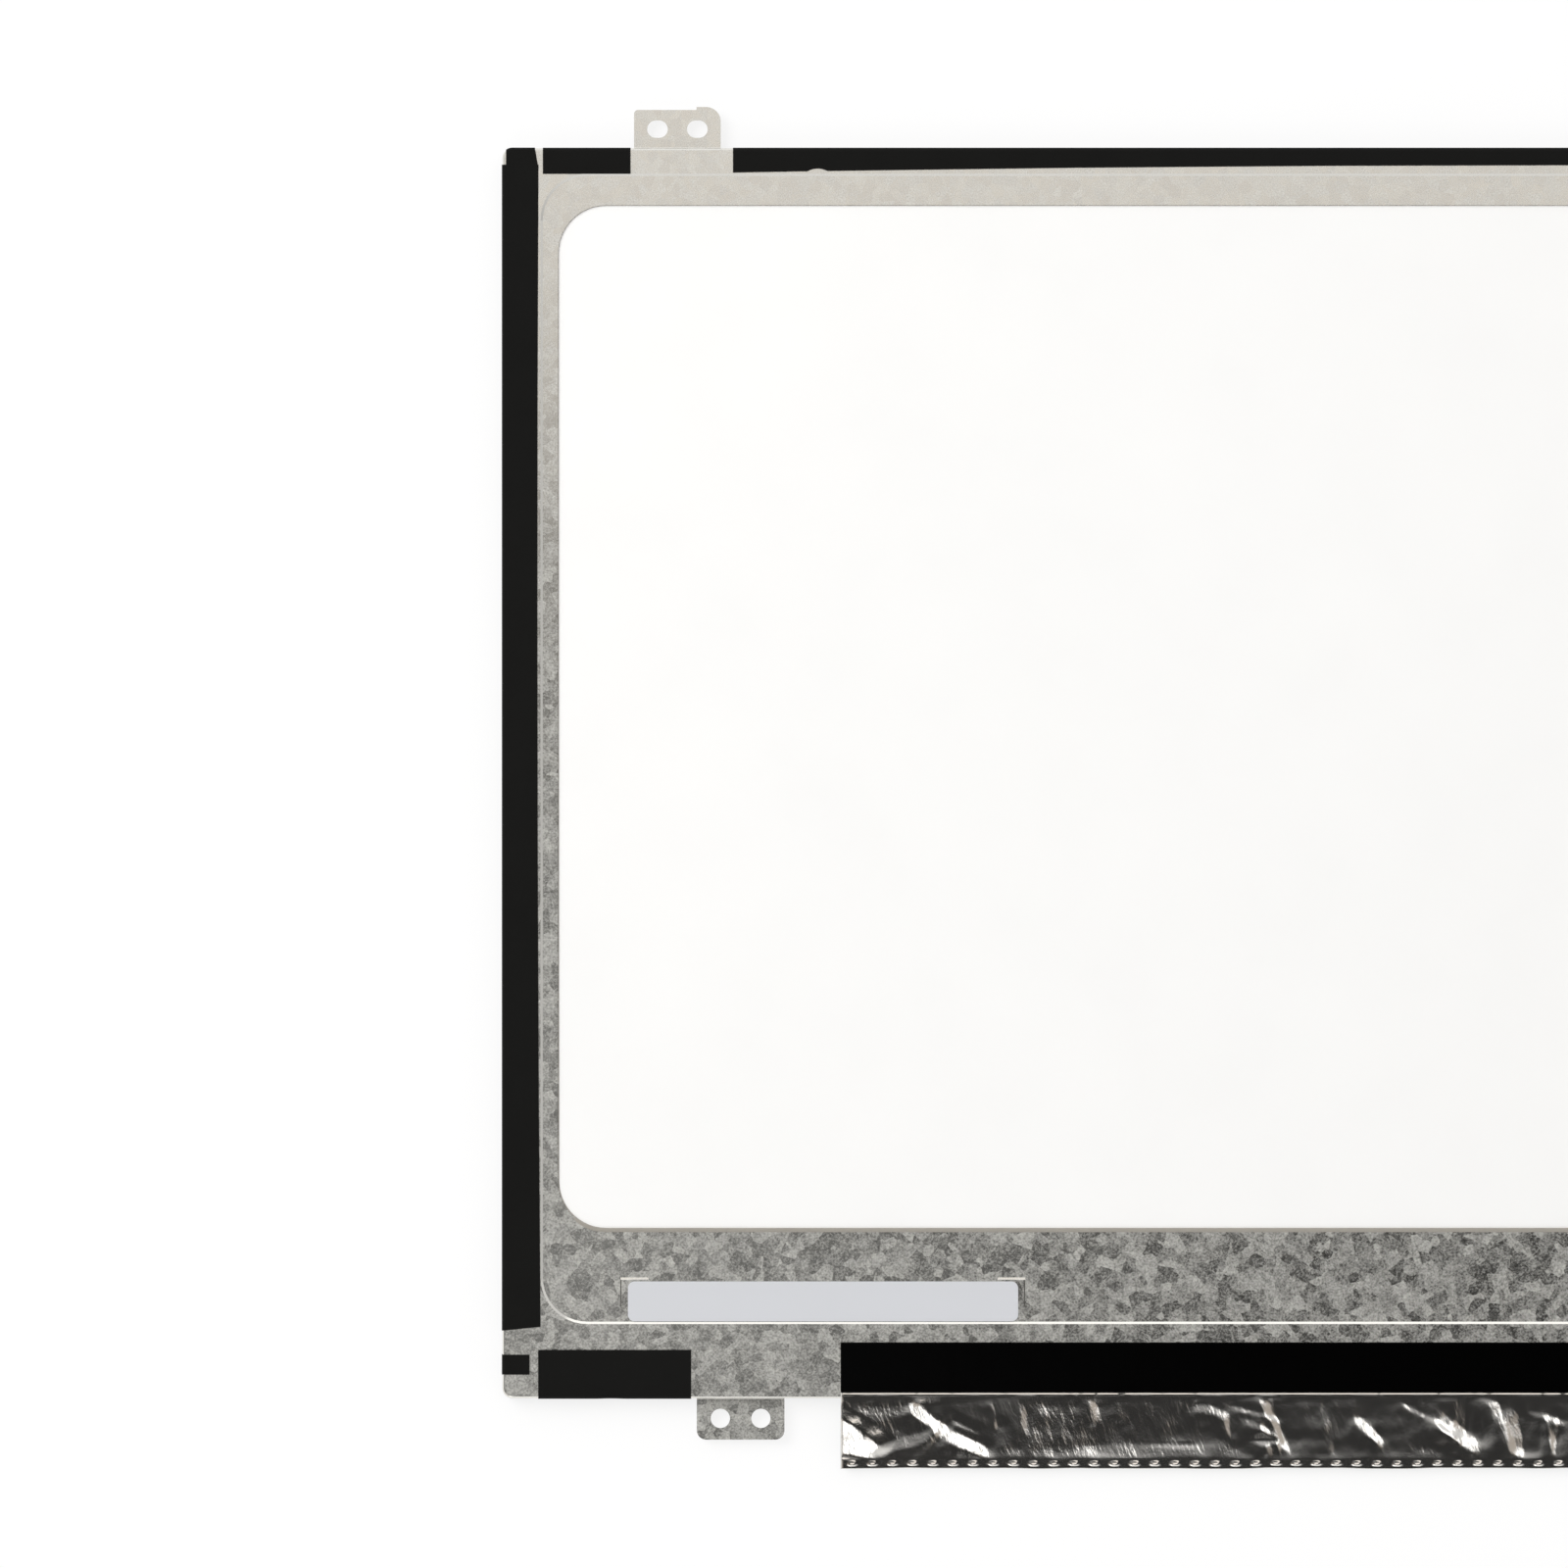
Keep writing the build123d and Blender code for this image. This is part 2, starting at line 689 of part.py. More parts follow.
# Screen cable socket, open towards the lower edge
with BuildPart() as connector_housing:
    with BuildSketch(Plane.XY.offset(z_board_rear)):
        limits(
            socket_x - socket_width / 2, socket_x + socket_width / 2, socket_mouth, socket_back
        )
    extrude(amount=socket_height)
    with BuildSketch(Plane.XY.offset(z_board_rear + socket_floor)):
        with Locations((socket_x, socket_mouth + socket_slot_depth / 2)):
            Rectangle(socket_slot_width, socket_slot_depth)
    extrude(amount=socket_slot_height, mode=Mode.SUBTRACT)
    with BuildSketch(Plane.XY.offset(z_board_rear + socket_floor)):
        with Locations((socket_x, socket_mouth + socket_depth / 2)):
            Rectangle(socket_slot_width, socket_depth)
    extrude(amount=contact_thickness, mode=Mode.SUBTRACT)

shell_half = socket_width / 2 + shell_thickness
shell_top = z_board_rear + socket_height + shell_thickness
with BuildPart() as connector_shell:
    with BuildSketch(Plane.XZ.offset(-(socket_mouth + shell_setback + shell_depth))):
        limits(socket_x - shell_half, socket_x + shell_half, z_board_rear, shell_top)
        limits(
            socket_x - socket_width / 2,
            socket_x + socket_width / 2,
            z_board_rear,
            z_board_rear + socket_height,
            mode=Mode.SUBTRACT,
        )
    extrude(amount=shell_depth)

contact_top = z_board_rear + socket_floor + contact_thickness / 2
with BuildPart() as connector_contacts:
    for index in range(contact_count):
        contact_x = socket_x + (index - (contact_count - 1) / 2) * contact_pitch
        with BuildSketch(Plane.YZ.offset(contact_x - contact_width / 2)):
            with BuildLine():
                Polyline(
                    (socket_mouth + contact_setback, contact_top),
                    (socket_back + contact_thickness, contact_top),
                    (socket_back + contact_thickness, z_board_rear + contact_thickness / 2),
                    (socket_back + contact_tail, z_board_rear + contact_thickness / 2),
                )
            trace(line_width=contact_thickness)
        extrude(amount=contact_width)

# Foil shield: flange on the steel, creased slope down to the parts' lower edge, dotted foot
foil_middle = foil_thickness / 2
foil_end = board_bottom - foil_overhang
slope_top = Vector(0, bottom - foil_lip, z_border + foil_thickness)
slope_foot = Vector(0, part_y - timing_controller_width / 2 - foil_part_gap, z_roof + foil_thickness)
slope_up = (slope_top - slope_foot).normalized()
slope_normal = Vector(1, 0, 0).cross(slope_up)
foil_left = left + foil_inset
foil_length = -2 * foil_left
crease_pitch = foil_length / crease_count
dot_count = int((foil_length - 2 * dot_end_margin - dot_length) / dot_pitch) + 1
with BuildPart() as foil_shield:
    with BuildSketch(Plane.YZ.offset(foil_left)):
        with BuildLine():
            Polyline(
                (bottom + foil_flange, z_border + foil_middle),
                (slope_top.Y, z_border + foil_middle),
                (slope_foot.Y, z_roof + foil_middle),
                (board_bottom + foil_foot, z_board_rear + foil_middle),
                (foil_end, z_board_rear + foil_middle),
            )
        trace(line_width=foil_thickness)
    extrude(amount=foil_length)
    for index in range(crease_count):
        crease_x = foil_left + (index + 0.5) * crease_pitch
        lean = radians(crease_lean * sin(index) + crease_spread * cos(crease_turn * index))
        along = slope_up * cos(lean) + Vector(1, 0, 0) * sin(lean)
        crease_middle = (slope_top + slope_foot) / 2 + Vector(crease_x, 0, 0)
        with BuildSketch(Plane(crease_middle, x_dir=slope_normal.cross(along), z_dir=along)):
            with BuildLine():
                Polyline((-crease_width / 2, 0), (crease_width / 2, 0), (0, crease_height), close=True)
            make_face()
        extrude(amount=crease_length / 2, both=True)
    with BuildSketch(Plane.XY.offset(z_board_rear + foil_thickness)):
        with Locations((0, board_bottom + dot_place)):
            with GridLocations(dot_pitch, 0, dot_count, 1):
                Rectangle(dot_length, dot_width)
    extrude(amount=dot_height, taper=dot_taper)
    with BuildSketch(Plane.XY.offset(z_board_rear)):
        limits(
            socket_x - shell_half - foil_socket_gap,
            socket_x + shell_half + foil_socket_gap,
            foil_end,
            socket_back + contact_tail + foil_socket_gap,
        )
    extrude(amount=z_border, mode=Mode.SUBTRACT)

# Black film over the foil's flange, with a small joggle where the flange ends
with BuildPart() as board_cover_film:
    with BuildSketch(Plane.YZ.offset(left + film_inset)):
        with BuildLine():
            Polyline(
                (bottom + film_top_inset, z_border),
                (bottom + foil_flange, z_border),
                (bottom + foil_flange, z_border + foil_thickness),
                (bottom + film_bottom_inset, z_border + foil_thickness),
                (bottom + film_bottom_inset, z_border + foil_thickness + film_thickness),
                (bottom + foil_flange + film_thickness, z_border + foil_thickness + film_thickness),
                (bottom + foil_flange + film_thickness, z_border + film_thickness),
                (bottom + film_top_inset, z_border + film_thickness),
                close=True,
            )
        make_face()
    extrude(amount=outline_width - 2 * film_inset)

# Tongue of the left edge tape: a skin over the tray's corner, trimmed to the tongue's plan
tongue_start = top - tongue_length
with BuildPart() as corner_tongue:
    with BuildSketch(Plane.XY.offset(z_border - tongue_flap)):
        inset_rectangle(-tape_thickness, -tape_thickness, -tape_thickness, corner_radius + tape_thickness)
    extrude(amount=tongue_flap + tape_thickness)
    chamfer(corner_tongue.faces().sort_by(Axis.Z)[-1].edges(), bend_radius - 2 * tape_thickness)
    add(tray_block.part, mode=Mode.SUBTRACT)
    with BuildSketch(Plane.XY.offset(z_border - tongue_flap)):
        with BuildLine():
            Polyline(
                (left + tongue_inset, tongue_start),
                (left + tongue_inset, top + tape_thickness),
                (left + tongue_reach, top + tape_thickness),
                (left + tongue_root_reach, tongue_start),
                close=True,
            )
        make_face()
    extrude(amount=tongue_flap + tape_thickness, mode=Mode.INTERSECT)

# Left edge tape: wrapped round the side, bowed inner edge, slanted foot, tongue over the top corner
with BuildPart() as left_edge_tape:
    with BuildSketch(Plane.XZ.offset(-tongue_start)):
        edge_wrap(left, 1, edge_tape_bottom_reach)
    extrude(amount=tongue_start - bottom - edge_tape_end)
    with BuildSketch(Plane.XY):
        with BuildLine():
            foot = Polyline(
                (left + edge_tape_top_reach, tongue_start),
                (left - tape_thickness, tongue_start),
                (left - tape_thickness, bottom + edge_tape_end),
                (left + edge_tape_bottom_reach, bottom + edge_tape_end + edge_tape_end_slant),
            )
            ThreePointArc(foot @ 1, (left + edge_tape_middle_reach, 0), foot @ 0)
        make_face()
    extrude(amount=z_border + tape_thickness, mode=Mode.INTERSECT)
    add(corner_tongue.part)

with BuildPart() as right_edge_tape:
    mirror(left_edge_tape.part, about=Plane.YZ)

# Top tapes, wrapped over the top edge on both sides of the tabs
with BuildPart() as top_left_tape:
    with BuildSketch(Plane.YZ.offset(left + top_left_tape_inset)):
        edge_wrap(top, -1, top_left_tape_reach)
    extrude(amount=top_left_tape_length)

with BuildPart() as top_right_tape:
    mirror(top_left_tape.part, about=Plane.YZ)

middle_start = left + top_middle_tape_inset
with BuildPart() as top_middle_tape:
    with BuildSketch(Plane.YZ.offset(middle_start)):
        edge_wrap(top, -1, top_middle_tape_reach)
    extrude(amount=-2 * middle_start)
    with BuildSketch(Plane.XY.offset(z_border)):
        with BuildLine():
            waist = ThreePointArc(
                (middle_start, top - top_middle_tape_reach),
                (0, top - top_middle_tape_waist),
                (-middle_start, top - top_middle_tape_reach),
            )
            Line(waist @ 0, waist @ 1)
        make_face()
        with BuildLine():
            nick = ThreePointArc(
                (left + top_nick_inset, top - top_middle_tape_reach),
                (left + top_nick_inset + top_nick_width / 2, top - top_nick_reach),
                (left + top_nick_inset + top_nick_width, top - top_middle_tape_reach),
            )
            Line(nick @ 0, nick @ 1)
        make_face()
        mirror(about=Plane.YZ)
    extrude(amount=tape_thickness, mode=Mode.SUBTRACT)

# Bottom tapes, folded down the lower wall and cut away round the snap hooks
with BuildPart() as bottom_left_tape:
    with BuildSketch(Plane.YZ.offset(left + bottom_tape_inset)):
        rear_wrap(bottom, 1, bottom_tape_reach, z_glass_front + bottom_tape_hem)
    extrude(amount=bottom_tape_length)
    with BuildSketch(Plane.XY):
        limits(
            left + bottom_nick_inset,
            left + bottom_nick_inset + bottom_nick_width,
            bottom - tape_thickness,
            bottom + bottom_nick_reach,
        )
    extrude(amount=z_border + tape_thickness, mode=Mode.SUBTRACT)

with BuildPart() as bottom_right_tape:
    mirror(bottom_left_tape.part, about=Plane.YZ)

with BuildPart() as left_corner_tape:
    with BuildSketch(Plane.XZ.offset(-(bottom + corner_tape_place + corner_tape_width))):
        rear_wrap(left, 1, corner_tape_reach, z_wall_end + corner_tape_hem)
    extrude(amount=corner_tape_width)

with BuildPart() as right_corner_tape:
    mirror(left_corner_tape.part, about=Plane.YZ)

# Tape over the glass ledge on the display side
with BuildPart() as front_cover_tape:
    with BuildSketch(Plane.XY.offset(z_glass_front - tape_thickness)):
        limits(
            left + rim_radius,
            right - rim_radius,
            bottom + rim_radius,
            bottom + colour_filter_bottom_inset + cover_tape_lap,
        )
    extrude(amount=tape_thickness)

# Blank label, laid in the recessed field against its lower step
with BuildPart() as blank_label:
    with BuildSketch(Plane.XY.offset(z_field)):
        with Locations((left + label_inset + label_length / 2, label_bottom + label_height / 2)):
            RectangleRounded(label_length, label_height, label_corner_radius)
    extrude(amount=label_thickness)

pieces = {
    "back_frame": back_frame,
    "mould_frame": mould_frame,
    "reflector_sheet": reflector_sheet,
    "light_guide_plate": light_guide_plate,
    "led_strip": led_strip,
    "leds": leds,
    "led_strip_tape": led_strip_tape,
    "rim_tape": rim_tape,
    "rear_polariser": rear_polariser,
    "tft_glass": tft_glass,
    "colour_filter_glass": colour_filter_glass,
    "front_polariser": front_polariser,
    "driver_chips": driver_chips,
    "joining_flexes": joining_flexes,
    "control_board": control_board,
    "timing_controller": timing_controller,
    "led_driver_chip": led_driver_chip,
    "power_inductors": power_inductors,
    "capacitors": capacitors,
    "connector_housing": connector_housing,
    "connector_shell": connector_shell,
    "connector_contacts": connector_contacts,
    "foil_shield": foil_shield,
    "board_cover_film": board_cover_film,
    "left_edge_tape": left_edge_tape,
    "right_edge_tape": right_edge_tape,
    "top_left_tape": top_left_tape,
    "top_middle_tape": top_middle_tape,
    "top_right_tape": top_right_tape,
    "bottom_left_tape": bottom_left_tape,
    "bottom_right_tape": bottom_right_tape,
    "left_corner_tape": left_corner_tape,
    "right_corner_tape": right_corner_tape,
    "front_cover_tape": front_cover_tape,
    "blank_label": blank_label,
} | films

os.makedirs("parts", exist_ok=True)
for name, piece in pieces.items():
    piece.part.label = name
    export_step(piece.part, f"parts/{name}.step")
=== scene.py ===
# %% [markdown]
# A laptop screen panel, seen from the rear. The real one is a stack of glass, films and a light
# guide, clamped between a moulded frame and a pressed steel tray. Black tape closes its edges, and
# crinkled foil covers the control board along its lower edge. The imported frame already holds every
# rigid piece at its true size, so this lesson does three things: it gives each piece its finish, it
# models the few pieces that only a free surface can show, and it lights the panel for a picture.

# %% Load the frame
from math import cos, pi, radians

import bpy
import numpy as np
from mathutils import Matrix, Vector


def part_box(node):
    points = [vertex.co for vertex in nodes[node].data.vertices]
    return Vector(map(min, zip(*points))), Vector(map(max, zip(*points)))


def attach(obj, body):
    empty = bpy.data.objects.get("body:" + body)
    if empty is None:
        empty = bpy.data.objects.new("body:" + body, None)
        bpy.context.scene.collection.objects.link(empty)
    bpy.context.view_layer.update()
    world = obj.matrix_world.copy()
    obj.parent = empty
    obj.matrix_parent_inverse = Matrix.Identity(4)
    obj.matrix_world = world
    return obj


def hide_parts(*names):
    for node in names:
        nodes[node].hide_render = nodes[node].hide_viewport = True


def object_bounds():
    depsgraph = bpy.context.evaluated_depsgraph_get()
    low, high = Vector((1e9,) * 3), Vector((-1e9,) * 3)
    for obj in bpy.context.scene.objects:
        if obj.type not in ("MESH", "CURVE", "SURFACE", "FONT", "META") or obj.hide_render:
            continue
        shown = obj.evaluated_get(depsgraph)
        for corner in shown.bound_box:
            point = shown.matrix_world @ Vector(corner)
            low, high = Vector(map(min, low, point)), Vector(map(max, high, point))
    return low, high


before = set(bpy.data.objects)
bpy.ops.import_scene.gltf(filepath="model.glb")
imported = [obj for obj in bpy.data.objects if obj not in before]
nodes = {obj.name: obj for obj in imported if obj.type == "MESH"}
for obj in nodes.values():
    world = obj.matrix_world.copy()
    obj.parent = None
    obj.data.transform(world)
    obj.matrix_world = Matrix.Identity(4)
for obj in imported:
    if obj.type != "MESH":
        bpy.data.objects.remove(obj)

MM = 0.001
cad_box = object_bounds()
print("pieces in the frame:", len(nodes))
print("size in mm:", [round((high - low) / MM, 2) for low, high in zip(*cad_box)])

# %% [markdown]
# Every finish below is a small tree of shader nodes. Colours are picked as sRGB hex values, as a
# paint program shows them, while the renderer works in linear light, so one function converts them.
# Two more fill a node's inputs, by value or by link, and add a node with its settings. A finish
# reads Object coordinates, scaled to millimetres, so every pattern can be given its real size.

# %% Colours, nodes and finishes
def linear(hex_colour):
    """Linear RGBA of an sRGB hex colour: the sRGB curve undone, channel by channel."""
    channels = np.array([int(hex_colour[i:i + 2], 16) for i in (1, 3, 5)]) / 255
    low, high = channels / 12.92, ((channels + 0.055) / 1.055) ** 2.4
    return (*np.where(channels <= 0.04045, low, high), 1.0)


def fill(tree, node, inputs):
    """Fill a node's inputs: a socket is linked, and anything else becomes the input's own value."""
    for name, value in inputs.items():
        if isinstance(value, bpy.types.NodeSocket):
            tree.links.new(value, node.inputs[name])
        else:
            node.inputs[name].default_value = value
    return node


def add(tree, kind, inputs, **settings):
    """Add a node of a kind with its settings, and fill its inputs."""
    node = tree.nodes.new(kind)
    for name, value in settings.items():
        setattr(node, name, value)
    return fill(tree, node, inputs)


def start_finish(name):
    """Start a finish: its material, node tree and shader, and the place on the piece in millimetres."""
    material = bpy.data.materials.new(name)
    material.use_nodes = True
    tree = material.node_tree
    place = add(tree, "ShaderNodeTexCoord", {}).outputs["Object"]
    place = add(tree, "ShaderNodeVectorMath", {0: place, "Scale": 1 / MM}, operation="SCALE")
    return material, tree, tree.nodes["Principled BSDF"], place.outputs["Vector"]


def dress(material, *names):
    """Give a finish to pieces of the frame, in all of their material slots."""
    for name in names:
        for slot in nodes[name].material_slots:
            slot.material = material
    print(material.name, "on", ", ".join(names))


# %% [markdown]
# The tray is hot-dip galvanised steel. As the zinc freezes it forms spangle: crystals one or two
# millimetres wide, some bright as a mirror and some frosted, each ribbed in its own direction. Grey
# patches painted on would look the same in any light. Here each Voronoi cell gets its own share of
# bare metal instead, so that the pattern is strong where the metal mirrors something dark, and all
# but gone where it mirrors something bright. That is just what the real sheet does. Faces that don't
# lie level are bare metal of a paler colour. This is partly the burnish of the press tool where it bent
# the sheet, and partly a painted highlight along the bends and steps.

# %% Galvanised steel
# Sizes in millimetres of the crystals, of the small ones among them, of the ribs and of the grain
CRYSTAL, TWIN = 1.5, 0.7
RIB_WIDTH, RIB_LENGTH = 0.2, 1.0
GRAIN = 0.3
WARP = 0.35
# Upward part of the normal where the sheet starts to count as bent, and where it is fully bent
LEVEL, BENT = 0.995, 0.96
# The share of bare metal: its start, and what each pattern adds to it
BARE_START = -0.46
BARE_CRYSTAL, BARE_TWIN, BARE_RIBS, BARE_GRAIN = 0.47, 0.15, 0.45, 1.10


def galvanised_steel():
    """Zinc spangle: the share of bare metal sums a value per cell, ribs turned per cell and a grain."""
    material, tree, shader, place = start_finish("hot_dip_galvanised_steel")
    flow = add(tree, "ShaderNodeTexNoise", {"Vector": place, "Scale": 1 / CRYSTAL, "Detail": 1.0})
    bent = add(tree, "ShaderNodeVectorMath", {0: flow.outputs["Color"], 1: (WARP, WARP, WARP), 2: place},
               operation="MULTIPLY_ADD")
    cell = add(tree, "ShaderNodeTexVoronoi", {"Vector": bent.outputs["Vector"], "Scale": 1 / CRYSTAL})
    crystal = add(tree, "ShaderNodeSeparateColor", {"Color": cell.outputs["Color"]}).outputs
    turn = add(tree, "ShaderNodeMath", {0: crystal["Green"], 1: pi}, operation="MULTIPLY")
    turned = add(tree, "ShaderNodeVectorRotate", {"Vector": place, "Angle": turn.outputs["Value"]},
                 rotation_type="Z_AXIS")
    ribbed = add(tree, "ShaderNodeVectorMath",
                 {0: turned.outputs["Vector"], 1: (1 / RIB_WIDTH, 1 / RIB_LENGTH, 1.0)}, operation="MULTIPLY")
    ribs = add(tree, "ShaderNodeTexNoise", {"Vector": ribbed.outputs["Vector"], "Scale": 1.0, "Detail": 1.0})
    grain = add(tree, "ShaderNodeTexNoise", {"Vector": place, "Scale": 1 / GRAIN, "Detail": 2.0})
    twin = add(tree, "ShaderNodeTexVoronoi", {"Vector": bent.outputs["Vector"], "Scale": 1 / TWIN})
    twin = add(tree, "ShaderNodeSeparateColor", {"Color": twin.outputs["Color"]}).outputs["Red"]
    bare = BARE_START
    for value, weight in ((crystal["Red"], BARE_CRYSTAL), (twin, BARE_TWIN), (ribs.outputs["Fac"], BARE_RIBS),
                          (grain.outputs["Fac"], BARE_GRAIN)):
        bare = add(tree, "ShaderNodeMath", {0: value, 1: weight, 2: bare}, operation="MULTIPLY_ADD")
        bare = bare.outputs["Value"]
    normal = add(tree, "ShaderNodeNewGeometry", {}).outputs["Normal"]
    level = add(tree, "ShaderNodeSeparateXYZ", {0: normal}).outputs["Z"]
    bend = add(tree, "ShaderNodeMapRange", {"Value": level, "From Min": LEVEL, "From Max": BENT},
               interpolation_type="SMOOTHSTEP").outputs["Result"]
    metal = add(tree, "ShaderNodeMath", {0: bare, 1: bend}, operation="MAXIMUM")
    zinc = add(tree, "ShaderNodeMix", {"Factor": crystal["Blue"], "A": linear("#c5c4bf"),
                                       "B": linear("#cbcac4")}, data_type="RGBA")
    # Paler colour on faces that don't lie level: partly burnished metal, partly a painted highlight on the
    # bends
    colour = add(tree, "ShaderNodeMix", {"Factor": bend, "A": zinc.outputs["Result"],
                                         "B": linear("#e6e4de")}, data_type="RGBA")
    fill(tree, shader, {"Base Color": colour.outputs["Result"], "Metallic": metal.outputs["Value"],
                        "Roughness": 0.12})
    return material


steel = galvanised_steel()
dress(steel, "back_frame")

# %% [markdown]
# Many finishes are alike in kind: a tone that drifts a little from place to place, and a fine grain
# that breaks up the shine. One function makes them all, from two tones, the size of the patches
# they drift over, and the size and depth of the grain. The tapes are matte black polyester, and
# the film over the board is the same stuff with a glossy face. A matte face scatters light, so it
# looks dark grey, and a glossy one mirrors a dark room, so it looks blacker.

# %% Black tape, black film, white reflector and bare label
def mottled(name, tones, patch, grain, depth, sockets):
    """Two tones blended by noise over patches, under a finer noise that stands up by a small depth."""
    material, tree, shader, place = start_finish(name)
    drift = add(tree, "ShaderNodeTexNoise", {"Vector": place, "Scale": 1 / patch, "Detail": 2.0})
    colour = add(tree, "ShaderNodeMix", {"Factor": drift.outputs["Fac"], "A": linear(tones[0]),
                                         "B": linear(tones[1])}, data_type="RGBA")
    tooth = add(tree, "ShaderNodeTexNoise", {"Vector": place, "Scale": 1 / grain, "Detail": 3.0})
    bump = add(tree, "ShaderNodeBump", {"Height": tooth.outputs["Fac"], "Distance": depth * MM})
    fill(tree, shader, {"Base Color": colour.outputs["Result"], "Normal": bump.outputs["Normal"], **sockets})
    return material


# Rolled-on black with a dry, dead face: hardly any shine, and a grain as of fine paper
tape = mottled("matte_black_polyester_tape", ("#0f0f0e", "#131312"), 6.0, 0.35, 0.012,
               {"Roughness": 0.6, "Specular IOR Level": 0.12})
# The same film left glossy: a black mirror with slow waves where a thumb pressed it down
film = mottled("glossy_black_polyester_film", ("#020202", "#030303"), 12.0, 7.0, 0.02,
              {"Roughness": 0.1, "Specular IOR Level": 0.1})
# Foamed polyester scatters all light: almost pure white, with a faint satin face
reflector = mottled("foamed_white_polyester", ("#f7f7f6", "#fbfbfa"), 14.0, 0.5, 0.004, {"Roughness": 0.5})
# Label stock: a cool pale grey coat, smooth but for the tooth of the paper
label = mottled("blank_label_stock", ("#d0d2d6", "#d2d4d9"), 9.0, 0.3, 0.003, {"Roughness": 0.5})
dress(tape, "left_edge_tape", "right_edge_tape", "top_left_tape", "top_middle_tape", "top_right_tape",
      "bottom_left_tape", "bottom_right_tape", "left_corner_tape", "right_corner_tape", "front_cover_tape")
dress(film, "board_cover_film")
dress(reflector, "reflector_sheet")
dress(label, "blank_label")

# %% [markdown]
# Inside the panel are moulded and pressed pieces with the same kind of finish: the frame, the chips,
# the ferrite cores, the socket and its metal. Little of them shows, at the edges and through the cut
# in the foil, but the part is used by itself too, so each gets its own tones, grain and shine.

# %% Moulded, pressed and plated pieces
# Black polycarbonate from a spark-eroded mould: a soft sheen broken by a grain of about 0.15 mm,
# drawn at 0.3 mm so that it shows
dress(mottled("moulded_black_polycarbonate", ("#151515", "#1c1c1b"), 20.0, 0.3, 0.02, {"Roughness": 0.45}),
      "mould_frame")
# Epoxy moulding compound: charcoal with glass filler, dull as slate
dress(mottled("epoxy_moulding_compound", ("#141414", "#1d1d1c"), 0.5, 0.12, 0.006, {"Roughness": 0.5}),
      "timing_controller", "led_driver_chip")
# Sintered ferrite: dark brown-grey and grainy, with the sparkle of broken stone
dress(mottled("sintered_ferrite", ("#33302d", "#45413d"), 0.4, 0.15, 0.015, {"Roughness": 0.6}),
      "power_inductors")
# Liquid-crystal polymer: cream, streaked where the melt flowed
dress(mottled("moulded_liquid_crystal_polymer", ("#d2cab4", "#ded7c4"), 1.5, 0.2, 0.006, {"Roughness": 0.42}),
      "connector_housing")
# Tinned bronze shell: a soft white metal, slightly clouded
dress(mottled("tinned_bronze", ("#bdbdb9", "#cfcfcb"), 1.2, 0.25, 0.004,
              {"Metallic": 1.0, "Roughness": 0.28}), "connector_shell")
# Flash gold over nickel: warm and bright, with the drag marks of stamping
dress(mottled("flash_gold_plate", ("#d3a84e", "#e2bd68"), 0.6, 0.1, 0.003,
              {"Metallic": 1.0, "Roughness": 0.22}), "connector_contacts")
# Polished silicon: a grey-violet mirror
dress(mottled("polished_silicon", ("#34353c", "#3d3e45"), 2.0, 0.4, 0.001,
              {"Metallic": 0.6, "Roughness": 0.12}), "driver_chips")
# Acrylic adhesive on both faces of a tissue: milky, with the threads showing as cloud
dress(mottled("milky_acrylic_adhesive", ("#cfcabc", "#ddd9cd"), 0.8, 0.3, 0.01, {"Roughness": 0.4}),
      "rim_tape", "led_strip_tape")
# Diffuser sheet: polyester full of fine beads, an even frosted white
dress(mottled("beaded_polyester_diffuser", ("#e9eae8", "#f1f1ef"), 3.0, 0.25, 0.012, {"Roughness": 0.65}),
      "upper_diffuser", "lower_diffuser")
# Polariser with a fine anti-glare coat: near black, with a grey veil instead of a mirror image
dress(mottled("anti_glare_polariser", ("#090a0c", "#0c0d10"), 30.0, 0.2, 0.006, {"Roughness": 0.35}),
      "front_polariser", "rear_polariser")

# %% [markdown]
# Other sheets are ruled with fine parallel lines: copper traces under the amber film of a flex,
# ridges on a prism film, fan-out lines on the glass. A line is where the distance to the nearest
# multiple of the pitch is small, which the ping-pong operation gives. The real pitches are from
# 0.05 to 0.2 mm, too fine to show, so all of them are drawn a few times coarser.

# %% Flexes, prism films and glass
# A line's soft edge, from outside to inside, as shares of its width
LINE_OUTSIDE, LINE_INSIDE = 0.6, 0.4


def ruled(name, tones, axis, pitch, width, depth, sockets):
    """Lines of the second tone: where the ping-pong of a coordinate is below half of a line's width."""
    material, tree, shader, place = start_finish(name)
    across = add(tree, "ShaderNodeSeparateXYZ", {0: place}).outputs[axis]
    off_line = add(tree, "ShaderNodeMath", {0: across, 1: pitch / 2}, operation="PINGPONG")
    line = add(tree, "ShaderNodeMapRange",
               {"Value": off_line.outputs["Value"], "From Min": LINE_OUTSIDE * width,
                "From Max": LINE_INSIDE * width}, interpolation_type="SMOOTHSTEP")
    colour = add(tree, "ShaderNodeMix", {"Factor": line.outputs["Result"], "A": linear(tones[0]),
                                         "B": linear(tones[1])}, data_type="RGBA")
    bump = add(tree, "ShaderNodeBump", {"Height": line.outputs["Result"], "Distance": depth * MM})
    fill(tree, shader, {"Base Color": colour.outputs["Result"], "Normal": bump.outputs["Normal"], **sockets})
    return material


# Polyimide is clear amber, so copper shows through it as lines of a redder brown
dress(ruled("amber_polyimide_flex", ("#a8671c", "#8a4a1c"), "X", 0.5, 0.25, 0.012, {"Roughness": 0.3}),
      "joining_flexes", "led_strip")
# Prism film: clear ridges, shaped by the bump, with their lines in a paler tone: a painted highlight where
# the ridges tip
dress(ruled("ridged_prism_film", ("#dfe3e4", "#f2f4f4"), "Y", 0.4, 0.2, 0.06, {"Roughness": 0.2}),
      "upper_prism_film", "lower_prism_film")
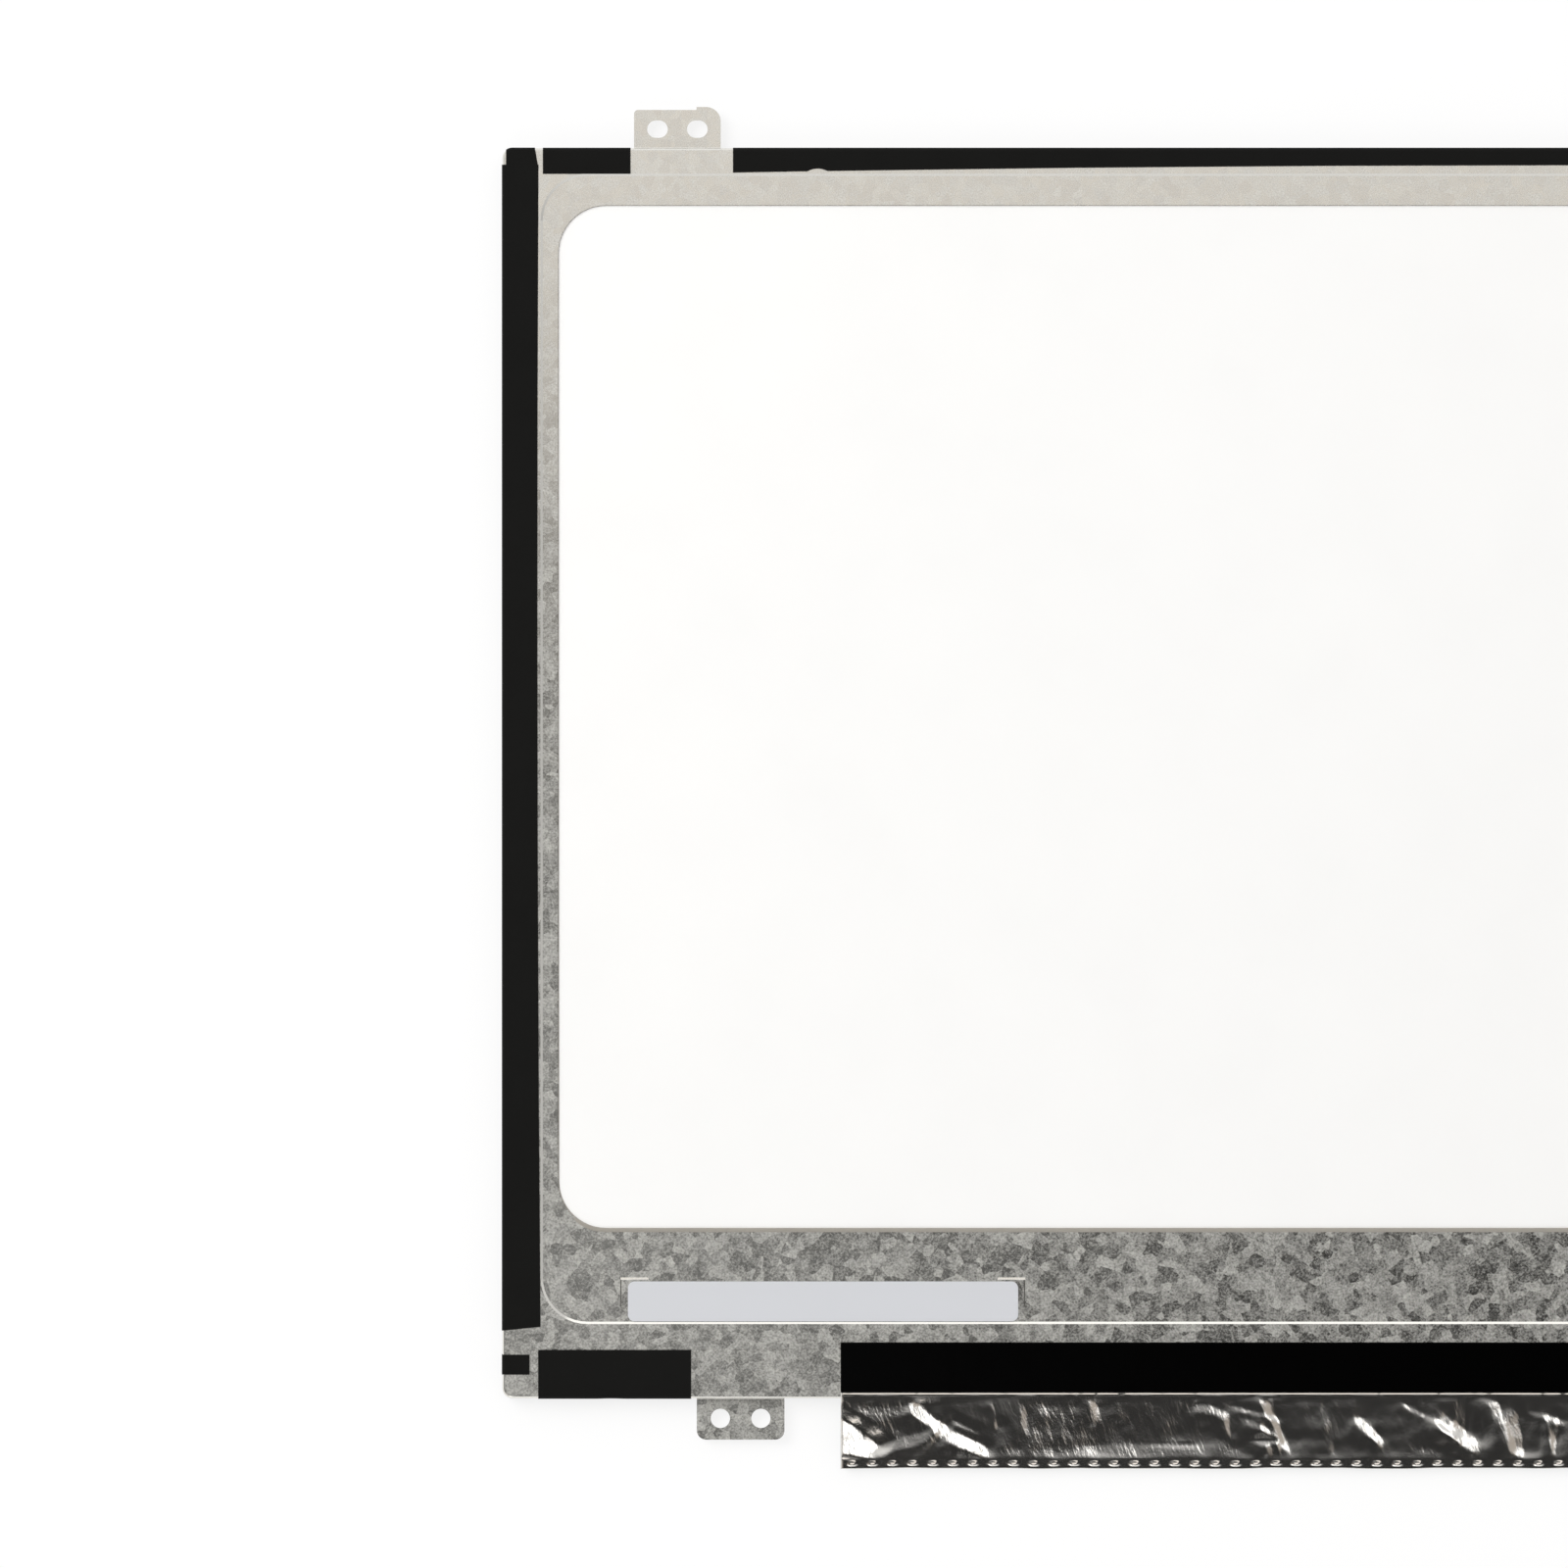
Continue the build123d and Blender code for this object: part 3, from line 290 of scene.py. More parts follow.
# Display glass: dark and faintly green, with thin metal lines that fan out to the drivers
dress(ruled("thin_display_glass", ("#181d1d", "#262c2b"), "X", 0.6, 0.2, 0.002,
            {"Roughness": 0.06, "IOR": 1.52}), "tft_glass", "colour_filter_glass")

# %% [markdown]
# Four finishes are drawn for their piece alone. The light guide is clear acrylic with a print of
# white dots that lets light out. The board is green solder mask, paler where copper lies under it,
# with bright round vias. The capacitors are tan ceramic with tinned ends, and the lamps are white
# with a yellow window. The last two repeat at a pitch, so the ping-pong trick finds each one's middle.

# %% Light guide and control board
INK_SPACING, INK_OUTSIDE, INK_INSIDE = 1.2, 0.34, 0.28
COPPER_SIZE, COPPER_DEPTH = 2.4, 0.03
VIA_SPACING, VIA_OUTSIDE, VIA_INSIDE = 1.7, 0.16, 0.13
CLEAR_ROUGHNESS, INK_ROUGHNESS = 0.06, 0.5


def printed_acrylic():
    """Clear acrylic with printed dots: white where a Voronoi point is nearer than the dot's radius."""
    material, tree, shader, place = start_finish("dot_printed_acrylic")
    spots = add(tree, "ShaderNodeTexVoronoi", {"Vector": place, "Scale": 1 / INK_SPACING, "Randomness": 0.3})
    ink = add(tree, "ShaderNodeMapRange", {"Value": spots.outputs["Distance"], "From Min": INK_OUTSIDE,
                                           "From Max": INK_INSIDE})
    colour = add(tree, "ShaderNodeMix", {"Factor": ink.outputs["Result"], "A": linear("#dde6e4"),
                                         "B": linear("#f8f8f6")}, data_type="RGBA")
    dull = add(tree, "ShaderNodeMath", {0: ink.outputs["Result"], 1: INK_ROUGHNESS, 2: CLEAR_ROUGHNESS},
               operation="MULTIPLY_ADD")
    fill(tree, shader, {"Base Color": colour.outputs["Result"], "Roughness": dull.outputs["Value"],
                        "IOR": 1.49})
    return material


def solder_mask():
    """Green mask over copper: square Voronoi cells stand for copper areas, small round ones for vias."""
    material, tree, shader, place = start_finish("green_solder_mask")
    pour = add(tree, "ShaderNodeTexVoronoi", {"Vector": place, "Scale": 1 / COPPER_SIZE},
               distance="CHEBYCHEV")
    copper = add(tree, "ShaderNodeSeparateColor", {"Color": pour.outputs["Color"]}).outputs["Red"]
    green = add(tree, "ShaderNodeMix", {"Factor": copper, "A": linear("#0c4224"), "B": linear("#17603a")},
                data_type="RGBA")
    holes = add(tree, "ShaderNodeTexVoronoi", {"Vector": place, "Scale": 1 / VIA_SPACING})
    via = add(tree, "ShaderNodeMapRange", {"Value": holes.outputs["Distance"], "From Min": VIA_OUTSIDE,
                                           "From Max": VIA_INSIDE})
    colour = add(tree, "ShaderNodeMix", {"Factor": via.outputs["Result"], "A": green.outputs["Result"],
                                         "B": linear("#b9a36a")}, data_type="RGBA")
    bump = add(tree, "ShaderNodeBump", {"Height": copper, "Distance": COPPER_DEPTH * MM})
    fill(tree, shader, {"Base Color": colour.outputs["Result"], "Normal": bump.outputs["Normal"],
                        "Roughness": 0.3})
    return material


dress(printed_acrylic(), "light_guide_plate")
dress(solder_mask(), "control_board")

# %% Capacitors and lamps
CLOUD, SOFT_EDGE = 0.3, 0.02


def in_a_row(name, node, length, pitch, reach, tones, metals, sockets):
    """A row of equal blocks: two tones up to a reach from each block's middle, the third beyond it."""
    material, tree, shader, place = start_finish(name)
    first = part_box(node)[0].x / MM + length / 2
    along = add(tree, "ShaderNodeSeparateXYZ", {0: place}).outputs["X"]
    from_first = add(tree, "ShaderNodeMath", {0: along, 1: first}, operation="SUBTRACT")
    from_middle = add(tree, "ShaderNodeMath", {0: from_first.outputs["Value"], 1: pitch / 2},
                      operation="PINGPONG").outputs["Value"]
    beyond = add(tree, "ShaderNodeMapRange", {"Value": from_middle, "From Min": reach - SOFT_EDGE,
                                              "From Max": reach + SOFT_EDGE}).outputs["Result"]
    cloud = add(tree, "ShaderNodeTexNoise", {"Vector": place, "Scale": 1 / CLOUD, "Detail": 2.0})
    tone = add(tree, "ShaderNodeMix", {"Factor": cloud.outputs["Fac"], "A": linear(tones[0]),
                                       "B": linear(tones[1])}, data_type="RGBA")
    colour = add(tree, "ShaderNodeMix", {"Factor": beyond, "A": tone.outputs["Result"],
                                         "B": linear(tones[2])}, data_type="RGBA")
    metal = add(tree, "ShaderNodeMath", {0: beyond, 1: metals}, operation="MULTIPLY").outputs["Value"]
    fill(tree, shader, {"Base Color": colour.outputs["Result"], "Metallic": metal, **sockets})
    return material


# Tan ceramic, cloudy as fired clay, between two ends of soft white tin
dress(in_a_row("ceramic_with_tinned_ends", "capacitors", 1.6, 3.2, 0.5,
               ("#9a7f5a", "#ab9069", "#c6c6c2"), 1.0, {"Roughness": 0.35}), "capacitors")
# A yellow phosphor window in a white package
dress(in_a_row("white_lamp_with_phosphor", "leds", 3.0, 6.2, 1.05,
               ("#d9b93a", "#e6cb55", "#ecebe4"), 0.0, {"Roughness": 0.45}), "leds")

# %% [markdown]
# The foil makes the panel look handled. It is thin aluminium laminated to plastic, pressed over the
# board by hand, so it is a mirror broken into facets. It could be crumpled by a cloth simulation,
# but then its folds would fall anywhere. Here it is a height over the plane, with one parameter along
# the foil and one across it. First comes the height at which it would lie if it were drawn tight:
# down from the steel's edge to its foot on the board, and over each part that stands in the way.

# %% The tight foil
FOIL_THICKNESS = 0.06 * MM
SLOPE_LEAD = 0.35 * MM
FOOT, FOOT_RISE = 1.6 * MM, 0.22 * MM
PART_GAP, PART_SLOPE = 0.30 * MM, 0.40
TENT_REACH = 6.0 * MM
COVERED_PARTS = ("timing_controller", "capacitors", "power_inductors", "led_driver_chip")
half = FOIL_THICKNESS / 2
foil_low, foil_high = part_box("foil_shield")
board_low, board_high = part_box("control_board")
film_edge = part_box("board_cover_film")[0].y
lower_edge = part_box("mould_frame")[0].y
steel_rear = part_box("back_frame")[1].z
board_level, steel_level = board_high.z + half, steel_rear + half
foot_edge = board_low.y + FOOT
slope_start = lower_edge + SLOPE_LEAD


def smooth_step(value, low, high):
    """The cubic step from 0 at low to 1 at high."""
    share = np.clip((value - low) / (high - low), 0, 1)
    return share * share * (3 - 2 * share)


def beside(x, low, high):
    """Distance along the foil from a part's box, zero over the part itself."""
    return np.clip(low.x - x, 0, None) + np.clip(x - high.x, 0, None)


def drawn_tight(x, y):
    """Height of the tight foil: lines from its foot up to the steel, raised to a tent over each part."""
    rows, levels = [foil_low.y, foot_edge, slope_start], [board_level, board_level + FOOT_RISE, steel_level]
    z = np.interp(y, rows, levels)
    for low, high in map(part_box, COVERED_PARTS):
        tent = np.interp(y, [*rows[:2], low.y - PART_GAP, rows[2]], [*levels[:2], high.z + half, levels[2]])
        z = z + np.clip(tent - z, 0, None) * (1 - smooth_step(beside(x, low, high), 0, TENT_REACH))
    return z


def lowest(x, y):
    """The lowest that the foil can lie: on the board, or on a part's top, which falls away all round it."""
    z = np.full(x.shape, board_level)
    for low, high in map(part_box, COVERED_PARTS):
        away = np.hypot(beside(x, low, high), np.clip(low.y - PART_GAP - y, 0, None))
        z = np.maximum(z, high.z + half - PART_SLOPE * away)
    return z


print("foil falls", round((steel_level - board_level) / MM, 2), "mm over",
      round((slope_start - foot_edge) / MM, 2), "mm")

# %% [markdown]
# Now the folds. Across a fold the foil steps down over a short width and eases back on both sides,
# a wave shaped like the letter N, so the short face is a facet that looks another way than the rest.
# The folds at the left end follow the photograph, and the rest are scattered by a seeded generator.
# Their lines are bent by a smooth noise, because no fold made by hand is straight.

# %% The folds
EASE, LONGEST_EASE = 2.5, 4.5 * MM
FADE = 1 / 6
SEED, SCATTERED = 5, 44
# Ranges for the scattered folds: places, half lengths and widths in millimetres, and steps per width
SCATTER_X, SCATTER_Y = (-54.0, 107.0), (-102.5, -97.5)
REACHES, WIDTHS, STEEPNESS = (2.5, 6.0), (0.5, 2.2), (0.10, 0.19)
MAIN_ANGLES, ANGLE_SPREAD = [1.9, 2.6], 0.25
rng = np.random.default_rng(SEED)
SEEN_FOLDS = [
    # start x, y, end x, y, width and step, in millimetres: the foil steps down to the line's left
    (-103.5, -105.6, -113.4, -98.6, 5.0, 0.84),
    (-93.9, -101.5, -98.7, -95.8, 2.0, 0.36),
    (-86.2, -104.9, -95.0, -100.8, 2.0, 0.36),
    (-88.3, -101.4, -93.0, -99.3, 0.7, 0.12),
    (-95.4, -101.0, -104.6, -103.7, 1.6, 0.22),
    (-70.4, -99.3, -72.1, -95.2, 1.3, 0.17),
    (-80.9, -102.0, -82.0, -96.4, 0.5, 0.06),
    (-77.9, -101.2, -79.2, -96.1, 0.5, 0.06),
    (-75.0, -102.7, -76.2, -97.0, 0.5, 0.06),
    (-85.7, -100.8, -86.9, -96.1, 0.5, 0.05),
]


def lattice_noise(x, y, spacing_x, spacing_y):
    """Smooth noise from -1 to 1: random values on a lattice, blended by a cubic step between nodes."""
    column, row = x / spacing_x, y / spacing_y
    column, row = column - column.min(), row - row.min()
    values = rng.uniform(-1, 1, (int(column.max()) + 2, int(row.max()) + 2))
    i, j = column.astype(int), row.astype(int)
    s, t = column - i, row - j
    s, t = s * s * (3 - 2 * s), t * t * (3 - 2 * t)
    near = values[i, j] * (1 - s) + values[i + 1, j] * s
    far = values[i, j + 1] * (1 - s) + values[i + 1, j + 1] * s
    return near * (1 - t) + far * t


def one_fold(x, y, fold):
    """One fold: the N-shaped wave of the distance from its line, faded out towards the line's ends."""
    start_x, start_y, end_x, end_y, width, step = np.array(fold) * MM
    length = np.hypot(end_x - start_x, end_y - start_y)
    ahead_x, ahead_y = (end_x - start_x) / length, (end_y - start_y) / length
    along = ((x - start_x) * ahead_x + (y - start_y) * ahead_y) / length
    aside = (y - start_y) * ahead_x - (x - start_x) * ahead_y
    ease = min(EASE * width, LONGEST_EASE)
    wave = np.interp(aside, [-ease, -width / 2, width / 2, ease], [0, step / 2, -step / 2, 0])
    return wave * np.clip(along / FADE, 0, 1) * np.clip((1 - along) / FADE, 0, 1)


def scattered_folds(count):
    """Random folds in millimetres, with angles round two main ones and steps in proportion to widths."""
    x = rng.uniform(*SCATTER_X, count)
    y = rng.uniform(*SCATTER_Y, count)
    angle = rng.choice(MAIN_ANGLES, count) + rng.normal(0, ANGLE_SPREAD, count)
    reach = rng.uniform(*REACHES, count)
    width = rng.uniform(*WIDTHS, count)
    step = width * rng.uniform(*STEEPNESS, count)
    return np.stack([x - reach * np.cos(angle), y - reach * np.sin(angle),
                     x + reach * np.cos(angle), y + reach * np.sin(angle), width, step], axis=1)


folds = SEEN_FOLDS + scattered_folds(SCATTERED).tolist()
print("folds in the foil:", len(folds))

# %% [markdown]
# The grid is finest where the shape is: at the bead where the foil comes out from under the film,
# and round the row of pressed dots that pins its foot to the board. The wrinkles fade out at both.
# A last step keeps the foil above what it covers.

# %% The foil's surface
DOT_PITCH, DOT_SHIFT = 3.04 * MM, 0.45 * MM
DOT_LENGTH, DOT_WIDTH, DOT_HEIGHT = 1.2 * MM, 0.85 * MM, 0.10 * MM
DOT_LINE = board_low.y + 0.75 * MM
COLUMNS_A_DOT, COLUMN_SHIFT = 11, 0.25 * MM
# Rows of the grid under the film, at the bead, down the slope and at the foot
ROWS, BEAD_LEAD = (2, 12, 28, 16), 0.1 * MM
# Noise that bends the lines: its spacing, and how far it shifts the tight foil and the folds
DRIFT_X, DRIFT_Y = 4.0 * MM, 3.0 * MM
DRIFT_TIGHT, DRIFT_FOLD = 0.25 * MM, 0.5 * MM
# Where the wrinkles begin and are full, above the foot's edge, and how far below the slope's start
FREE_LOW, FREE_HIGH, FREE_TOP = -0.5 * MM, 0.9 * MM, 1.2 * MM
# Height and spacing of the coarse and the fine wrinkles, in millimetres
WRINKLES = [(0.05, 2.2, 1.6), (0.02, 0.8, 1.4)]
# Patches of slack foil: their spacing, the noise where they begin and are full, and the least slack
SLACK_X, SLACK_Y, SLACK_BEGINS, SLACK_FULL, LEAST_SLACK = 11.0 * MM, 7.0 * MM, -0.5, 0.7, 0.4
columns = int((foil_high.x - foil_low.x) / DOT_PITCH * COLUMNS_A_DOT)
u = np.linspace(foil_low.x, foil_high.x, columns)
u = u + COLUMN_SHIFT * np.sin(2 * pi * (u - DOT_SHIFT) / DOT_PITCH)
u = np.interp(u, [u[0], u[-1]], [foil_low.x, foil_high.x])
row_ends = [foil_high.y, film_edge + BEAD_LEAD, slope_start, foot_edge, foil_low.y]
v = np.concatenate([np.linspace(a, b, n, endpoint=False) for a, b, n in zip(row_ends, row_ends[1:], ROWS)]
                   + [row_ends[-1:]])
x, y = np.meshgrid(u, v, indexing="ij")
bend_x, bend_y = lattice_noise(x, y, DRIFT_X, DRIFT_Y), lattice_noise(x, y, DRIFT_X, DRIFT_Y)
tight = drawn_tight(x + DRIFT_TIGHT * bend_x, y + DRIFT_TIGHT * bend_y)
free = smooth_step(y, foot_edge + FREE_LOW, foot_edge + FREE_HIGH)
free = free * smooth_step(slope_start - y, 0, FREE_TOP)
wrinkles = np.zeros(x.shape)
for height, spacing_x, spacing_y in WRINKLES:
    wrinkles = wrinkles + height * MM * lattice_noise(x, y, spacing_x * MM, spacing_y * MM)
for fold in folds:
    wrinkles = wrinkles + one_fold(x + DRIFT_FOLD * bend_x, y + DRIFT_FOLD * bend_y, fold)
z = np.maximum(tight + free * wrinkles, lowest(x, y))
slack = smooth_step(lattice_noise(x, y, SLACK_X, SLACK_Y), SLACK_BEGINS, SLACK_FULL)
slack = free * (LEAST_SLACK + (1 - LEAST_SLACK) * slack)
print("foil heights in mm:", round(z.min() / MM, 2), "to", round(z.max() / MM, 2))

# %% Dots, bead and lower edge
# A dot is a block with round corners: its slope, and the ring that it ends at and the width of its edge
DOT_TILT, DOT_REACH, DOT_EDGE, DOT_POWER = 0.2, 1.15, 0.4, 3
PIT_SHIFT, PIT_LENGTH, PIT_WIDTH, PIT_DEPTH = 0.12 * MM, 0.17 * MM, 0.14 * MM, 0.07 * MM
BEAD_OFFSET, BEAD_WIDTH, BEAD_HEIGHT, BEAD_DRIFT = 0.28 * MM, 0.10 * MM, 0.035 * MM, 0.45
# Spacing of the noises along the foil, and one across it that is wider than the foil
BEAD_SPACING, HEM_SPACING, NICK_SPACING, WIDE = 1.7 * MM, 5.0 * MM, 0.6 * MM, 40.0 * MM
HEM_REACH, NICK_BEGINS, NICK_FULL = 0.16 * MM, 0.4, 0.7
past_dot = (x - DOT_SHIFT) / DOT_PITCH - 0.5
past_dot = (past_dot - np.round(past_dot)) * DOT_PITCH
dot_x, dot_y = np.abs(2 * past_dot / DOT_LENGTH), np.abs(2 * (y - DOT_LINE) / DOT_WIDTH)
ring = (dot_x ** DOT_POWER + dot_y ** DOT_POWER) ** (1 / DOT_POWER)
pad = smooth_step(DOT_REACH - ring, 0, DOT_EDGE)
pit = np.exp(-((past_dot + PIT_SHIFT) / PIT_LENGTH) ** 2 - ((y - DOT_LINE) / PIT_WIDTH) ** 2)
z = z + pad * (DOT_HEIGHT + DOT_TILT * (DOT_LINE - y)) - PIT_DEPTH * pit
bead = np.exp(-((y - film_edge + BEAD_OFFSET) / BEAD_WIDTH) ** 2)
bead = bead * (1 + BEAD_DRIFT * lattice_noise(x, y, BEAD_SPACING, WIDE))
hem = smooth_step(-y, -foot_edge, -foil_low.y) * (1 + lattice_noise(x, y, HEM_SPACING, WIDE)) / 2
nicks = smooth_step(lattice_noise(x, y, NICK_SPACING, WIDE), NICK_BEGINS, NICK_FULL)
z = np.minimum(z + BEAD_HEIGHT * bead * (1 - nicks), cad_box[1][2] - half)
y = y + HEM_REACH * hem
print("foil reaches from", round(y.min() / MM, 2), "to", round(y.max() / MM, 2), "mm across")

# %% [markdown]
# The socket stands clear of the foil, so the faces over it are left out. Then the arrays become a
# mesh, and the Solidify modifier gives the sheet its thickness.

# %% The foil as a piece
SOCKET_GAP = 1.0 * MM
# Turn in degrees, width and length in millimetres, and weight of each kind of fine wrinkle
STREAKS = [(-18, 0.45, 3.5, 1.0), (-34, 0.8, 2.5, 1.0), (0, 0.4, 0.4, 0.5)]
STREAK_DEPTH = 0.035


def new_piece(name, vertices, faces, material):
    """Make a mesh piece at the origin from points and faces, riding on the one rigid body."""
    mesh = bpy.data.meshes.new(name)
    mesh.from_pydata(vertices.tolist(), [], faces)
    mesh.shade_smooth()
    mesh.materials.append(material)
    piece = bpy.data.objects.new(name, mesh)
    bpy.context.scene.collection.objects.link(piece)
    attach(piece, "root")
    print(name + ":", len(vertices), "vertices,", len(faces), "faces")
    return piece


def aluminium_foil():
    """Foil: a mirror whose fine wrinkles are noise drawn out in two directions, and a grain, added up."""
    material, tree, shader, place = start_finish("laminated_aluminium_foil")
    slack = add(tree, "ShaderNodeAttribute", {}, attribute_name="slack").outputs["Fac"]
    height = 0.0
    for turn, across, along, weight in STREAKS:
        turned = add(tree, "ShaderNodeVectorRotate", {"Vector": place, "Angle": radians(turn)},
                     rotation_type="Z_AXIS").outputs["Vector"]
        drawn = add(tree, "ShaderNodeVectorMath", {0: turned, 1: (1 / across, 1 / along, 1.0)},
                    operation="MULTIPLY").outputs["Vector"]
        streaks = add(tree, "ShaderNodeTexNoise", {"Vector": drawn, "Scale": 1.0, "Detail": 2.0})
        height = add(tree, "ShaderNodeMath", {0: streaks.outputs["Fac"], 1: weight, 2: height},
                     operation="MULTIPLY_ADD").outputs["Value"]
    height = add(tree, "ShaderNodeMath", {0: height, 1: slack}, operation="MULTIPLY").outputs["Value"]
    bump = add(tree, "ShaderNodeBump", {"Height": height, "Distance": STREAK_DEPTH * MM})
    fill(tree, shader, {"Base Color": linear("#e0ddd8"), "Metallic": 1.0, "Roughness": 0.15,
                        "Normal": bump.outputs["Normal"]})
    return material


shell_low, shell_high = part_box("connector_shell")
contacts_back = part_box("connector_contacts")[1].y
points = np.stack([x, y, z], axis=-1).reshape(-1, 3)
index = np.arange(len(points)).reshape(x.shape)
quads = np.stack([index[:-1, :-1], index[:-1, 1:], index[1:, 1:], index[1:, :-1]], axis=-1)
quads = quads.reshape(-1, 4)
middle = points[quads].mean(axis=1)
over_socket = ((middle[:, 0] > shell_low.x - SOCKET_GAP) & (middle[:, 0] < shell_high.x + SOCKET_GAP)
               & (middle[:, 1] < contacts_back + SOCKET_GAP))
used, quads = np.unique(quads[~over_socket], return_inverse=True)
quads = quads.reshape(-1, 4).tolist()
foil = new_piece("crinkled_foil", points[used], quads, aluminium_foil())
foil.data.attributes.new("slack", "FLOAT", "POINT").data.foreach_set("value", slack.ravel()[used])
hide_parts("foil_shield")
thick = foil.modifiers.new("thickness", "SOLIDIFY")
thick.thickness = FOIL_THICKNESS
thick.offset = 0.0
# Normals weighted by area keep the narrow rim from tilting the shading of the sheet beside it
foil.modifiers.new("even_shading", "WEIGHTED_NORMAL").weight = 100

# %% [markdown]
# A line of brownish adhesive shows inside the window, where the reflector is bonded to the back of
# the steel. Along the lower side it laps over the steel's edge, and at the top it is hardly there. It
# is a small rounded profile carried round the window's outline. The outline is a rectangle with round
# corners, and how far the profile reaches inwards and outwards depends on how low the place is.

# %% Adhesive round the window
WINDOW_INSETS = {"side": 8.4 * MM, "top": 8.6 * MM, "bottom": 25.5 * MM}
WINDOW_RADIUS = 7.2 * MM
ADHESIVE_HEIGHT, ADHESIVE_FLATNESS = 0.05 * MM, 0.4
# Reach inwards at the top, what is added further down, between two levels, and the lap over the steel
ADHESIVE_TOP, ADHESIVE_MORE, ADHESIVE_LAP = 0.05 * MM, 0.10 * MM, 0.60 * MM
FADE_START, FADE_END = 60.0 * MM, -40.0 * MM
CORNER_STEPS, PROFILE_STEPS = 14, 12
# Upward part of the inward normal where the lap begins, and where it is full
LAP_BEGINS, LAP_FULL = 0.1, 1.0
tray_low, tray_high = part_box("mould_frame")


def rounded_outline(low_x, high_x, low_y, high_y, radius, steps):
    """Points round a rectangle with round corners and their inward normals: four quarter turns, joined."""
    turn = np.linspace(0, pi / 2, steps)
    angles = (np.arange(4)[:, None] * pi / 2 + turn[None, :]).ravel()
    outward = np.stack([np.cos(angles), np.sin(angles)], axis=1)
    centre_x = np.repeat([high_x - radius, low_x + radius, low_x + radius, high_x - radius], steps)
    centre_y = np.repeat([high_y - radius, high_y - radius, low_y + radius, low_y + radius], steps)
    return np.stack([centre_x, centre_y], axis=1) + radius * outward, -outward


outline, inward = rounded_outline(
    tray_low.x + WINDOW_INSETS["side"], tray_high.x - WINDOW_INSETS["side"],
    tray_low.y + WINDOW_INSETS["bottom"], tray_high.y - WINDOW_INSETS["top"], WINDOW_RADIUS, CORNER_STEPS)
low_side = smooth_step(inward[:, 1], LAP_BEGINS, LAP_FULL)
inner = ADHESIVE_TOP + ADHESIVE_MORE * smooth_step(-outline[:, 1], -FADE_START, -FADE_END)
outer = ADHESIVE_LAP * low_side
sheet_level, field_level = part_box("reflector_sheet")[1].z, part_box("blank_label")[0].z
height = ADHESIVE_HEIGHT + (field_level - sheet_level) * low_side
turn = np.linspace(0, 2 * pi, PROFILE_STEPS, endpoint=False)
reach = (inner + outer)[:, None] * (1 - np.cos(turn)) / 2 - outer[:, None]
ring_xy = outline[:, None, :] + inward[:, None, :] * reach[:, :, None]
ring_z = sheet_level + height[:, None] * np.clip(np.sin(turn), 0, None) ** ADHESIVE_FLATNESS
points = np.concatenate([ring_xy, ring_z[:, :, None]], axis=2).reshape(-1, 3)
index = np.arange(len(points)).reshape(ring_z.shape)
ahead, up = np.roll(index, -1, axis=0), np.roll(index, -1, axis=1)
quads = np.stack([index, up, np.roll(ahead, -1, axis=1), ahead], axis=-1).reshape(-1, 4)
# Brown-grey and dull
adhesive = mottled("brown_grey_window_adhesive", ("#959088", "#a09b92"), 2.0, 0.3, 0.01, {"Roughness": 0.55})
new_piece("window_adhesive", points, quads.tolist(), adhesive)

# %% [markdown]
# Thin lines are scribed into the steel: two corner marks that show where the label goes, and a seam
# along the border. A scribed line has one gentle flank and one steep one, and the gentle one either
# catches the light or turns from it. Each is a low wedge, a triangle carried along a straight line.

# %% Scribed lines
MARK_LENGTH, MARK_SIDE, MARK_TOP, MARK_SHIFT = 4.2 * MM, 1.1 * MM, 0.4 * MM, 0.1 * MM
SEAM_INSET, SEAM_END, SEAM_SHIFT, SEAM_DEPTH = 7.4 * MM, 4.2 * MM, 0.07 * MM, 0.05 * MM
# Wedges: width of the gentle flank, and height
LEVEL_MARK, UPRIGHT_MARK = (0.3 * MM, 0.06 * MM), (0.13 * MM, 0.04 * MM)
SEAM_WEDGE = (0.145 * MM, 0.03 * MM)
# Width of the steep flank, as a share of the gentle one
STEEP_SHARE = 0.25
label_low, label_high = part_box("blank_label")
left_end, right_end = label_low.x - MARK_SIDE, label_high.x + MARK_SIDE
left_mark, right_mark = left_end + MARK_SHIFT, right_end - MARK_SHIFT
mark_top, seam = label_high.y + MARK_TOP, tray_low.y + SEAM_INSET + SEAM_SHIFT
mark_line, mark_foot = mark_top - MARK_SHIFT, mark_top - MARK_LENGTH
scribed = np.array([
    # start x, y, end x, y, level, and the wedge, whose gentle flank lies to the line's left
    (left_end, mark_line, left_end + MARK_LENGTH, mark_line, field_level, *LEVEL_MARK),
    (right_end - MARK_LENGTH, mark_line, right_end, mark_line, field_level, *LEVEL_MARK),
    (left_mark, mark_foot, left_mark, mark_top, field_level, *UPRIGHT_MARK),
    (right_mark, mark_foot, right_mark, mark_top, field_level, *UPRIGHT_MARK),
    (tray_high.x - SEAM_END, seam, tray_low.x + SEAM_END, seam, steel_rear - SEAM_DEPTH, *SEAM_WEDGE),
])
starts, ends = scribed[:, 0:2], scribed[:, 2:4]
level, flank, rise = scribed[:, 4:].T
ahead = (ends - starts) / np.linalg.norm(ends - starts, axis=1, keepdims=True)
left = np.stack([-ahead[:, 1], ahead[:, 0]], axis=1)
offsets = np.stack([flank, 0 * flank, -STEEP_SHARE * flank], axis=1)
aside = (offsets[:, :, None] * left[:, None, :])[:, None, :, :]
plan = np.stack([starts, ends], axis=1)[:, :, None, :] + aside
heights = np.stack([level, level + rise, level], axis=1)[:, None, :, None].repeat(2, axis=1)
points = np.concatenate([plan, heights], axis=3).reshape(-1, 3)
first = 6 * np.arange(len(scribed))[:, None, None]
